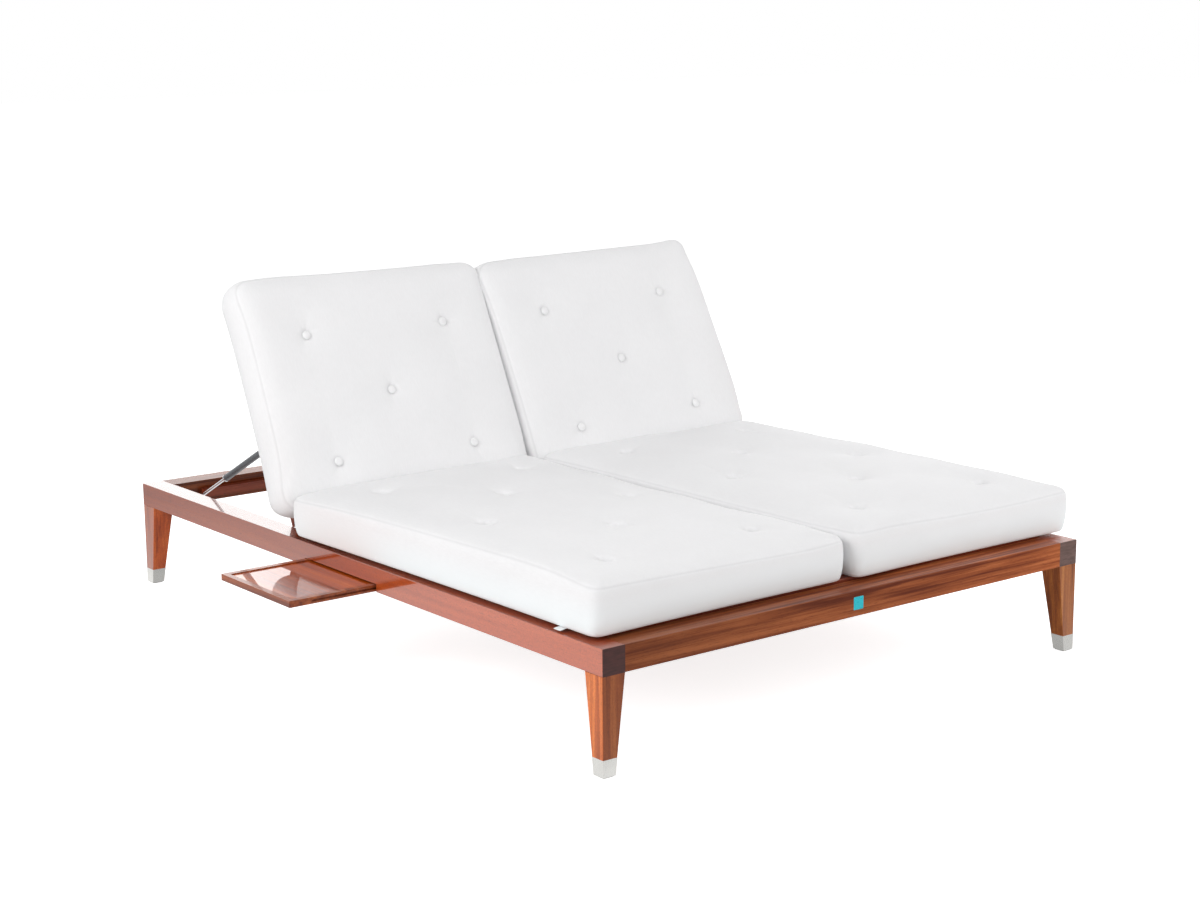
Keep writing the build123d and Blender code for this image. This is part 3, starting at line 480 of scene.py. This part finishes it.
BY_SLOT = {
    "rail_wood": wood(
        "rail_wood_x", 0, *MAHOGANY, stripe=0.0055, coat=0.35, gloss=0.05, tone=(-0.6, 0.6, 0.66, 1.2)
    ),
    # Its sides facing along X are painted 2.3 times lighter: painted light
    "leg_wood": wood("leg_wood", 2, *ORANGE, stripe=0.008, side_painted_light=2.3, fleck=0.08),
    "deck_wood": wood("deck_wood_x", 0, *RED_DEEP, stripe=0.012, coat=0.5, haze=0.25),
    "tray_wood": wood("tray_wood", 1, *TRAY_ORANGE, stripe=0.013, coat=1.0, coat_ior=2.3, haze=0.02),
    # Its faces looking towards the middle are painted darker: painted shade
    "ferrule_steel": metal("ferrule_steel", ferrule_colour, 0.3, brushed=2, metallic=0.95, inner_painted_shade=0.55),
    "hardware_steel": metal("hardware_steel", from_srgb(176, 178, 180), 0.3),
    "glide_plastic": coated("glide_plastic", from_srgb(40, 40, 42), 0.5),
    "plate_enamel": coated("plate_enamel", from_srgb(34, 192, 206), 0.3, speckle=0.1),
    "strut_black": coated("strut_black", from_srgb(80, 83, 87), 0.3),
    "strut_chrome": metal("strut_chrome", from_srgb(225, 227, 230), 0.08),
    "canvas": white_canvas,
}

# Materials of single pieces in place of their slots' own
BY_NODE = {
    # Their sides facing along X are painted 1.5 times lighter: painted light
    f"side_rail_{name}": wood(
        f"rail_wood_{name}", 1, *PLAIN, stripe=0.014, end_grain=cut, coat=1.0, coat_ior=2.1, haze=0.05,
        side_painted_light=1.5, fleck=0.1, tone=(-0.5, 0.2, 1.0, 0.62),
    )
    for name, cut in END_GRAINS_WITH_PAINTED_LIGHT.items()
}
# The front right and head legs: copies of the leg wood, with colours and coats set as painted light for how light
# and sheen fall on each
BY_NODE["leg_foot_right"] = wood(
    "leg_wood_right", 2, *LEG_RIGHT_PAINTED_LIGHT, stripe=0.008, coat=0.8, coat_ior=1.8, side_coat=0.05, side_painted_light=1.05,
    fleck=0.08,
)
leg_wood_head_painted_light = wood(
    "leg_wood_head_painted_light", 2, *LEG_HEAD_PAINTED_LIGHT, stripe=0.008, coat=0.1, coat_ior=2.5, haze=0.06, side_coat=1.0,
    side_painted_light=0.72, fleck=0.08,
)
tray_rim_wood = wood("tray_rim_wood", 1, *TRAY_RIM, stripe=0.008, coat=0.6)
deck_wood_y = wood("deck_wood_y", 1, *RED_DEEP, stripe=0.012, coat=0.5, haze=0.25)
BY_NODE.update({"centre_beam": deck_wood_y, "side_ledgers": deck_wood_y})
for name in SIDES:
    BY_NODE[f"leg_head_{name}"] = leg_wood_head_painted_light
    BY_NODE[f"tray_frame_{name}"] = tray_rim_wood
    BY_NODE[f"backrest_stiles_{name}"] = deck_wood_y

slot_of = {row["node"]: row["material_slot"] for row in frame["record"]["subparts"]}
for name, piece in nodes.items():
    piece.data.materials.clear()
    piece.data.materials.append(BY_NODE.get(name) or BY_SLOT[slot_of[name]])


def placed(name, data):
    """A new object in the scene, of a mesh, a camera or a light."""
    item = bpy.data.objects.new(name, data)
    scene.collection.objects.link(item)
    return item


def add_layer(mesh, name, values):
    """One number or one vector for each point of a mesh, for the materials."""
    values = np.array(values, np.float32)
    kind, field = ("FLOAT_VECTOR", "vector") if values.ndim == 2 else ("FLOAT", "value")
    mesh.attributes.new(name, kind, "POINT").data.foreach_set(field, values.ravel())


def clad(mesh):
    """Smooth shading and the canvas on a mesh."""
    mesh.polygons.foreach_set("use_smooth", [True] * len(mesh.polygons))
    mesh.materials.append(white_canvas)
    mesh.update()


def subdivide(piece):
    """One level of subdivision."""
    smooth = piece.modifiers.new("subdivision", "SUBSURF")
    smooth.levels = smooth.render_levels = 1


def waves(points, lengths, count, seed):
    """Smooth noise over points: a sum of sine waves in random directions, from about -1 to 1."""
    random = np.random.default_rng(seed)
    total = np.zeros(len(points))
    for _ in range(count):
        direction = random.normal(size=3)
        direction /= np.linalg.norm(direction)
        length = random.uniform(*lengths)
        total += np.sin(points @ direction * 2 * pi / length + random.uniform(0, 2 * pi))
    return total / np.sqrt(count)


def stations(half, centres):
    """Grid lines across a cushion: close together by its edges and by the tufts' centres."""
    inner = half - EDGE_STEPS[-1]
    fine = np.linspace(-inner, inner, 4001)
    peaks = sum(np.exp(-(((fine - centre) / TUFT_DENSITY_REACH) ** 2)) for centre in centres)
    density = 1 + TUFT_DENSITY * peaks
    amount = np.concatenate([[0], np.cumsum((density[1:] + density[:-1]) / 2 * np.diff(fine))])
    count = int(np.ceil(amount[-1] / GRID_SPACING)) + 1
    middle = np.interp(np.linspace(0, amount[-1], count), amount, fine)
    return np.concatenate([EDGE_STEPS[:-1] - half, middle, half - EDGE_STEPS[:-1][::-1]])


def box_mesh(half_x, half_y, tufts):
    """Grid points of a closed box cushion and its quads: top panel, sides and bottom.
    Returns the square coordinates (x, y), the height share (0 at the bottom edge, 1 at the seam),
    the part that each point belongs to (TOP, SIDE or BOTTOM) and the faces."""
    columns, rows_of_tufts = (sorted({round(tuft[axis], 6) for tuft in tufts}) for axis in (0, 1))
    xs, ys = stations(half_x, columns), stations(half_y, rows_of_tufts)
    nx, ny = len(xs), len(ys)
    grid = np.array([(x, y) for y in ys for x in xs])
    loop = list(range(nx)) + [j * nx + nx - 1 for j in range(1, ny)]
    loop += [(ny - 1) * nx + i for i in range(nx - 2, -1, -1)] + [j * nx for j in range(ny - 2, 0, -1)]
    count, around = nx * ny, len(loop)
    points = [grid, grid] + [grid[loop]] * len(SIDE_LEVELS)
    shares = [np.ones(count), np.zeros(count)] + [np.full(around, level) for level in SIDE_LEVELS]
    parts = [np.full(count, TOP), np.full(count, BOTTOM)] + [np.full(around, SIDE)] * len(SIDE_LEVELS)
    faces = []
    for j in range(ny - 1):
        for i in range(nx - 1):
            a = j * nx + i
            faces.append((a, a + 1, a + nx + 1, a + nx))
            faces.append((count + a, count + a + nx, count + a + nx + 1, count + a + 1))
    rows = [[count + i for i in loop]]
    rows += [[2 * count + k * around + i for i in range(around)] for k in range(len(SIDE_LEVELS))]
    rows.append(loop)
    for low, high in zip(rows, rows[1:]):
        for i in range(around):
            j = (i + 1) % around
            faces.append((low[i], low[j], high[j], high[i]))
    return np.concatenate(points), np.concatenate(shares), np.concatenate(parts), faces


def tuft_places(kind):
    """Tufts in a diamond pattern, as in the CAD model."""
    form = CUSHIONS[kind]
    pitch, shift = form["length"] * form["pitch"], form["length"] * form["shift"]
    column = CUSHION_WIDTH * form["column"]
    places = []
    for row in range(form["rows"]):
        y = (row - (form["rows"] - 1) / 2) * pitch - shift
        places += [(-column, y), (column, y)] if row % 2 == 0 else [(0.0, y)]
    return places


def edge_offsets(key, x, y, half_x, half_y):
    """The seam's rise, the side's bulge and its belly at each point, fading inwards, from the edges."""
    offsets = np.zeros((3, len(x)))
    weights, keep = np.full(len(x), 1e-9), np.ones(len(x))
    for side, distance, along in (
        ("left", x + half_x, (y + half_y) / (2 * half_y)),
        ("right", half_x - x, (y + half_y) / (2 * half_y)),
        ("front", y + half_y, (x + half_x) / (2 * half_x)),
        ("rear", half_y - y, (x + half_x) / (2 * half_x)),
    ):
        weight = np.exp(-((distance / EDGE_FADE) ** 2))
        for total, values in zip(offsets, EDGES[key][side]):
            places = np.linspace(0, 1, len(values))
            total += weight * np.polyval(np.polyfit(places, values, len(values) - 1), along)
        weights += weight
        keep *= 1 - weight
    return offsets / weights * (1 - keep)


def outlined(x, y, half_x, half_y, corner):
    """The square points moved onto a cushion's outline, with round corners and sides drawn in, and the outward
    direction of the side at each point, for bulges and the seam's pull."""
    corner_x = np.maximum(abs(x) - (half_x - corner), 0)
    corner_y = np.maximum(abs(y) - (half_y - corner), 0)
    most, reach = np.maximum(corner_x, corner_y), np.hypot(corner_x, corner_y)
    safe = np.maximum(reach, 1e-9)
    shrink = np.where(reach > 0, most / safe, 1.0)
    px = np.sign(x) * (np.minimum(abs(x), half_x - corner) + corner_x * shrink)
    py = np.sign(y) * (np.minimum(abs(y), half_y - corner) + corner_y * shrink)
    px -= np.sign(x) * CUSHION_DRAW_IN * (1 - (y / half_y) ** 2) * (abs(x) / half_x) ** 3
    py -= np.sign(y) * CUSHION_DRAW_IN * (1 - (x / half_x) ** 2) * (abs(y) / half_y) ** 3
    across = half_x - abs(x) <= half_y - abs(y)
    in_corner = reach > corner * 0.7
    out_x = np.where(in_corner, np.sign(x) * corner_x / safe, np.where(across, np.sign(x), 0.0))
    out_y = np.where(in_corner, np.sign(y) * corner_y / safe, np.where(across, 0.0, np.sign(y)))
    return px, py, out_x, out_y


def inflate(piece, pins):
    """Blows the piece up as cloth with some points held, and moves its points by at most the cap."""
    group = piece.vertex_groups.new(name="held")
    for weight in np.unique(np.round(pins, 1)):
        if weight > 0:
            chosen = np.nonzero(np.round(pins, 1) == weight)[0].tolist()
            group.add(chosen, float(weight), "REPLACE")
    cloth = piece.modifiers.new("cloth", "CLOTH")
    settings = cloth.settings
    settings.quality = 4
    settings.mass = 0.25
    settings.tension_stiffness = settings.compression_stiffness = 25
    settings.shear_stiffness = 12
    settings.bending_stiffness = 0.4
    settings.use_pressure = True
    settings.uniform_pressure_force = PRESSURE
    settings.vertex_group_mass = group.name
    settings.effector_weights.gravity = 0
    cloth.point_cache.frame_start, cloth.point_cache.frame_end = 1, CLOTH_STEPS
    for step in range(1, CLOTH_STEPS + 1):
        scene.frame_set(step)
    shown = piece.evaluated_get(bpy.context.evaluated_depsgraph_get())
    end = np.zeros(len(shown.data.vertices) * 3)
    shown.data.vertices.foreach_get("co", end)
    start = np.zeros(len(end))
    piece.data.vertices.foreach_get("co", start)
    move = (end - start).reshape(-1, 3)
    size = np.linalg.norm(move, axis=1, keepdims=True)
    piece.modifiers.remove(cloth)
    piece.vertex_groups.remove(group)
    scene.frame_set(1)
    return start.reshape(-1, 3) + move * CLOTH_CAP / (CLOTH_CAP + size)


def make_cushion(kind, side_name, body, place, thickness, tufts, seed):
    """One boxed cushion: crowned top panel with tufts, a sewn edge, soft sides and a flat underside."""
    form, key = CUSHIONS[kind], f"{kind}_{side_name}"
    half_x, half_y = CUSHION_WIDTH / 2, form["length"] / 2
    square, share, part, faces = box_mesh(half_x, half_y, tufts)
    top, side, bottom = part == TOP, part == SIDE, part == BOTTOM
    x, y = square.T
    px, py, out_x, out_y = outlined(x, y, half_x, half_y, form["corner"])
    inset = np.minimum(half_x - abs(x), half_y - abs(y))
    seam = top & (inset < ON_SEAM)

    # Heights of a plain cushion
    room_x, room_y = np.maximum(half_x - abs(x), 1e-6), np.maximum(half_y - abs(y), 1e-6)
    depth = (room_x**-4.0 + room_y**-4.0) ** -0.25
    shoulder = np.sqrt(1 - (1 - np.minimum(depth / SHOULDER_WIDTH, 1)) ** 2)
    rise = np.clip(depth / CROWN_REACH, 0, 1)
    crowned = thickness + SHOULDER_RISE * shoulder + (form["crown"] - CROWN_LESS) * rise * rise * (3 - 2 * rise)
    beside = np.maximum(BOTTOM_ROUND - inset, 0)
    under = BOTTOM_ROUND - np.sqrt(np.maximum(BOTTOM_ROUND**2 - beside**2, 0))
    upright = BOTTOM_ROUND + (thickness - BOTTOM_ROUND) * share
    z = np.where(top, crowned, np.where(side, upright, under))

    # Its edges' rise, bulge and belly
    lifted, pushed, filled = edge_offsets(key, x, y, half_x, half_y)
    z = z + np.where(top, lifted, np.where(side, lifted * share**1.5, 0.0))
    belly = np.where(side, (BELLY + filled) * np.sin(pi * np.clip(share, 0, 1)) ** 0.7, 0.0)
    push_aside = PUSH_BELOW + (1 - PUSH_BELOW) * np.sin(share * PUSH_TURN)
    spread = belly + pushed * np.where(top, PUSH_ON_TOP, np.where(side, push_aside, PUSH_BELOW))
    px, py = px + out_x * spread, py + out_y * spread

    # Slow waves in the top and the sides
    flat = np.stack([x, y, share * 0.1], axis=1)
    z = z + top * np.clip(inset / TOP_WAVE_INSET, 0, 1) * TOP_WAVE * waves(flat, TOP_WAVE_LENGTHS, 10, seed)
    ripple = SIDE_WAVE * waves(flat, SIDE_WAVE_LENGTHS, 9, seed + 1)
    z = z + side * (1 - share) * np.maximum(ripple, SIDE_WAVE_LOWEST) + bottom * (inset < ON_SEAM) * ripple.clip(0)
    points = np.stack([px, py, z], axis=1)

    mesh = bpy.data.meshes.new(f"{kind}_pad_{side_name}")
    mesh.from_pydata(points.tolist(), [], faces)
    mesh.update()
    piece = placed(f"{kind}_pad_{side_name}", mesh)

    # Tufts
    near = np.where(top, np.min([np.hypot(px - tx, py - ty) for tx, ty in tufts], axis=0), 1.0)
    for tx, ty in tufts:
        far = np.hypot(px - tx, py - ty)
        at = np.argmin(np.where(top, far, 9))
        drop = max(z[at] - (thickness + form["pit_rise"]), LEAST_PIT)
        cone = np.exp(-np.sqrt(far**2 + CONE_TIP**2) / CONE_REACH + CONE_TIP / CONE_REACH)
        shape = (
            FLOOR_SHARE * np.exp(-((far / FLOOR_REACH) ** 5))
            + CONE_SHARE * cone
            + DIP_SHARE * np.exp(-((far / DIP_REACH) ** 2))
        )
        points[:, 2] -= top * drop * shape
    mesh.vertices.foreach_set("co", points.ravel())
    mesh.update()

    pins = np.zeros(len(points))
    for held, hold in (
        (bottom & (inset > HELD_BOTTOM_EDGE), 1),
        (bottom & (inset <= HELD_BOTTOM_EDGE), 0.8),
        (side & (share < HELD_SIDE), 0.7),
        (seam, 0.8),
        (near < HELD_BY_TUFT, 0.5),
        (near < HELD_AT_TUFT, 1),
    ):
        pins[held] = hold
    points = inflate(piece, pins)

    # Folds that run out from each tuft, puckers along the seam, and the seam's groove
    random = np.random.default_rng(seed + 2)
    for tx, ty in tufts:
        dx, dy = px - tx, py - ty
        far, angle = np.hypot(dx, dy), np.arctan2(dy, dx)
        for _ in range(FOLDS):
            at, width, length = random.uniform(-pi, pi), random.uniform(0.16, 0.3), random.uniform(0.02, 0.045)
            turn = (angle - at + pi) % (2 * pi) - pi
            fold = np.exp(-((turn / width) ** 2)) * np.exp(-(((far - FOLD_MIDDLE) / length) ** 2))
            points[:, 2] -= top * (far > FOLD_START) * FOLD_DEPTH * fold
    along = np.where(abs(out_x) > abs(out_y), y, x)
    pucker = np.sin(along * 2 * pi / PUCKER_PITCH + 2 * waves(flat, PUCKER_WAVE_LENGTHS, 5, seed + 3))
    by_seam = top * np.exp(-(((depth - PUCKER_MIDDLE) / PUCKER_REACH) ** 2)) * (inset > ON_SEAM)
    points[:, 2] += PUCKER_DEPTH * pucker * by_seam
    pull = np.where(seam, SEAM_PULL, 0.0)
    points[:, 0] -= out_x * pull
    points[:, 1] -= out_y * pull
    points[:, 2] = np.maximum(points[:, 2], 0.0)
    points[:, 0] = points[:, 0].clip(-half_x - MOST_ASIDE, half_x + MOST_ASIDE)
    points[:, 1] = points[:, 1].clip(-half_y - MOST_FORWARD, half_y + MOST_BACKWARD)

    add_layer(mesh, "weave_at", points)
    # Painted shade along the seam and round the tufts' rims, and painted light low on the sides
    shaded = np.where(seam, SEAM_SHADE, TUFT_SHADE * np.exp(-((near / TUFT_SHADE_REACH) ** 8)))
    add_layer(mesh, "painted_shade_line", shaded)
    painted_light_low = np.clip((PAINTED_LIGHT_TOP - points[:, 2]) / PAINTED_LIGHT_FADE, 0, 1) * form["painted_light_side"]
    add_layer(mesh, "painted_light_side", painted_light_low)
    mesh.vertices.foreach_set("co", points.ravel())
    mesh.transform(place)
    clad(mesh)
    subdivide(piece)
    cad_node = f"{kind}_cushion_{side_name}"
    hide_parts(cad_node)
    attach(piece, body)


def make_buttons(name, body, place, floor, tufts, cad_node):
    """Fabric-covered buttons, domed and tucked under at the rim."""
    count = BUTTON_SEGMENTS
    last_ring = len(BUTTON_RINGS) - 1
    points, faces = [], []
    for tx, ty in tufts:
        first = len(points)
        for share, level in BUTTON_RINGS:
            radius, z = BUTTON_RADIUS * share, floor + BUTTON_HEIGHT * level
            for step in range(count):
                turn = 2 * pi * step / count
                points.append((tx + radius * cos(turn), ty + radius * sin(turn), z))
        points.append((tx, ty, floor + BUTTON_HEIGHT))
        points.append((tx, ty, floor + BUTTON_HEIGHT * BUTTON_RINGS[-1][1]))
        crest, base = len(points) - 2, len(points) - 1
        last = first + last_ring * count
        for step in range(count):
            after = (step + 1) % count
            faces.append((crest, first + step, first + after))
            faces.append((base, last + after, last + step))
            for ring in range(last_ring):
                low = first + ring * count
                faces.append((low + step, low + count + step, low + count + after, low + after))
    mesh = bpy.data.meshes.new(name)
    mesh.from_pydata(points, [], faces)
    add_layer(mesh, "weave_at", points)
    # Painted shade on the tucked rim
    rim = floor + BUTTON_RIM * BUTTON_HEIGHT
    add_layer(mesh, "painted_shade_line", [BUTTON_RIM_SHADE if point[2] < rim else 0.0 for point in points])
    mesh.transform(place)
    clad(mesh)
    piece = placed(name, mesh)
    subdivide(piece)
    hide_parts(cad_node)
    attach(piece, body)


def laid(key):
    """How a cushion lies in its place, as a matrix."""
    shift_x, shift_y, turn = LAYS[key]
    return Matrix.Translation((shift_x, shift_y, 0)) @ Matrix.Rotation(turn, 4, "Z")


back_up = Vector((0, cos(RECLINE), sin(RECLINE)))
back_out = Vector((0, -sin(RECLINE), cos(RECLINE)))
lean = Matrix((Vector((1, 0, 0)), back_up, back_out)).transposed().to_4x4()
for name, side in SIDES.items():
    across = Vector((side * CUSHION_MIDDLE_X, 0, 0))
    seat_at = Matrix.Translation(across + Vector((0, SEAT_MIDDLE_Y, SEAT_FLOOR)))
    back_at = Matrix.Translation(across + HINGE + back_up * BACK_MIDDLE + back_out * BACK_FLOOR) @ lean
    for kind, body, at in (("seat", "frame", seat_at), ("back", f"backrest_{name}", back_at)):
        form, place, tufts = CUSHIONS[kind], at @ laid(f"{kind}_{name}"), tuft_places(kind)
        thickness = form["thickness"] + EXTRA_FILL.get(f"{kind}_{name}", 0.0)
        make_cushion(kind, name, body, place, thickness, tufts, (form["seed"] + side) * 10)
        floor = thickness + form["pit_rise"] + form["button_lift"]
        make_buttons(f"{kind}_tufts_{name}", body, place, floor, tufts, f"{kind}_buttons_{name}")


def make_tab():
    """The small fabric tab sewn under the left seat cushion, with a slight curl at its free edge."""
    low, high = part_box("cushion_tab")
    points = []
    for j in range(TAB_ALONG):
        for i in range(TAB_ACROSS):
            u, v = i / (TAB_ACROSS - 1), j / (TAB_ALONG - 1)
            droop = TAB_CURL * (1 - u) ** 2 + TAB_ARCH * sin(pi * v)
            x, y = low.x + (high.x - low.x) * u, low.y + (high.y - low.y) * v
            points.append((x, y, high.z - TAB_SINK - droop))
    corners = [j * TAB_ACROSS + i for j in range(TAB_ALONG - 1) for i in range(TAB_ACROSS - 1)]
    faces = [(a, a + 1, a + TAB_ACROSS + 1, a + TAB_ACROSS) for a in corners]
    mesh = bpy.data.meshes.new("fabric_tab")
    mesh.from_pydata(points, [], faces)
    add_layer(mesh, "weave_at", points)
    clad(mesh)
    piece = placed("fabric_tab", mesh)
    thick = piece.modifiers.new("thickness", "SOLIDIFY")
    thick.thickness = TAB_THICKNESS
    thick.offset = 0
    subdivide(piece)
    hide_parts("cushion_tab")
    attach(piece, "frame")


make_tab()

# Camera
forward = Vector(
    (sin(CAMERA_YAW) * cos(CAMERA_PITCH), cos(CAMERA_YAW) * cos(CAMERA_PITCH), -sin(CAMERA_PITCH))
)
level_right = Vector((cos(CAMERA_YAW), -sin(CAMERA_YAW), 0))
level_up = level_right.cross(forward)
right = level_right * cos(CAMERA_ROLL) + level_up * sin(CAMERA_ROLL)
upward = level_up * cos(CAMERA_ROLL) - level_right * sin(CAMERA_ROLL)
camera = placed("camera", bpy.data.cameras.new("camera"))
camera.matrix_world = Matrix.Translation(CAMERA_AT) @ Matrix((right, upward, -forward)).transposed().to_4x4()
camera.data.lens = CAMERA_LENS
camera.data.sensor_width = CAMERA_SENSOR
camera.data.clip_end = 100
scene.camera = camera


def seen_directly(tree):
    """One where a ray comes from the camera, a mirror or glass, and zero for light on the object."""
    path = made(tree, "ShaderNodeLightPath")
    both = calculated(tree, "MAXIMUM", path.outputs["Is Camera Ray"], path.outputs["Is Glossy Ray"])
    return calculated(tree, "MAXIMUM", both, path.outputs["Is Transmission Ray"])


def backward_share(tree, vector):
    """How far a point or direction lies towards the back of the studio."""
    return made(tree, "ShaderNodeVectorMath", {0: vector, 1: BACKWARD}, operation="DOT_PRODUCT").outputs["Value"]


def either(tree, factor, first, second):
    """One shader where a factor is zero and another where it is one."""
    return made(tree, "ShaderNodeMixShader", {0: factor, 1: first.outputs[0], 2: second.outputs[0]})


# World: white where it is seen, softer as light. In mirrors the front of the studio is dim and its back is white
scene.world = bpy.data.worlds.new("studio")
tree = bare_tree(scene.world)
towards = made(tree, "ShaderNodeTexCoord").outputs["Generated"]
mirrored = grey(tree, backward_share(tree, towards), *WORLD_MIRRORED)
glossy = made(tree, "ShaderNodeLightPath").outputs["Is Glossy Ray"]
loss = calculated(tree, "MULTIPLY", glossy, calculated(tree, "SUBTRACT", mirrored, 1.0))
strength = calculated(tree, "ADD", loss, 1.0)
lit = made(tree, "ShaderNodeBackground", {"Color": WORLD_COLOUR, "Strength": WORLD_LIGHT})
seen = made(tree, "ShaderNodeBackground", {"Color": WHITE, "Strength": strength})
mixed = either(tree, seen_directly(tree), lit, seen)
made(tree, "ShaderNodeOutputWorld", {"Surface": mixed.outputs[0]})

# Floor: white to the camera, with the object's own soft shadow. In mirrors it is dim towards the front
floor_corners = [(FLOOR_HALF * x, FLOOR_HALF * y, 0) for x, y in ((-1, -1), (1, -1), (1, 1), (-1, 1))]
floor_mesh = bpy.data.meshes.new("floor")
floor_mesh.from_pydata(floor_corners, [], [(0, 1, 2, 3)])
floor = placed("floor", floor_mesh)
material = bpy.data.materials.new("floor_white")
tree = bare_tree(material)
matt = made(tree, "ShaderNodeBsdfDiffuse", {"Color": FLOOR_COLOUR})
glow = made(tree, "ShaderNodeEmission", {"Color": WHITE, "Strength": FLOOR_GLOW})
shown = made(tree, "ShaderNodeAddShader", {0: matt.outputs[0], 1: glow.outputs[0]})
back = backward_share(tree, made(tree, "ShaderNodeNewGeometry").outputs["Position"])
dimmed = calculated(
    tree, "MULTIPLY", grey(tree, back, *FLOOR_MIRRORED_NEAR), grey(tree, back, *FLOOR_MIRRORED_FAR)
)
mirror = made(tree, "ShaderNodeEmission", {"Color": WHITE, "Strength": dimmed})
mixed = either(tree, seen_directly(tree), matt, shown)
mixed = either(tree, made(tree, "ShaderNodeLightPath").outputs["Is Glossy Ray"], mixed, mirror)
made(tree, "ShaderNodeOutputMaterial", {"Surface": mixed.outputs[0]})
floor_mesh.materials.append(material)

# Soft studio lights that the camera doesn't see
for name, at, aim, width, height, power, sheen_only in LIGHTS:
    data = bpy.data.lights.new(name, "AREA")
    data.shape, data.size, data.size_y = "RECTANGLE", width, height
    data.energy = power
    light = placed(name, data)
    light.location = at
    light.rotation_euler = (Vector(aim) - Vector(at)).to_track_quat("-Z", "Y").to_euler()
    light.visible_camera = False
    light.visible_diffuse = not sheen_only

scene.view_settings.view_transform = "Standard"
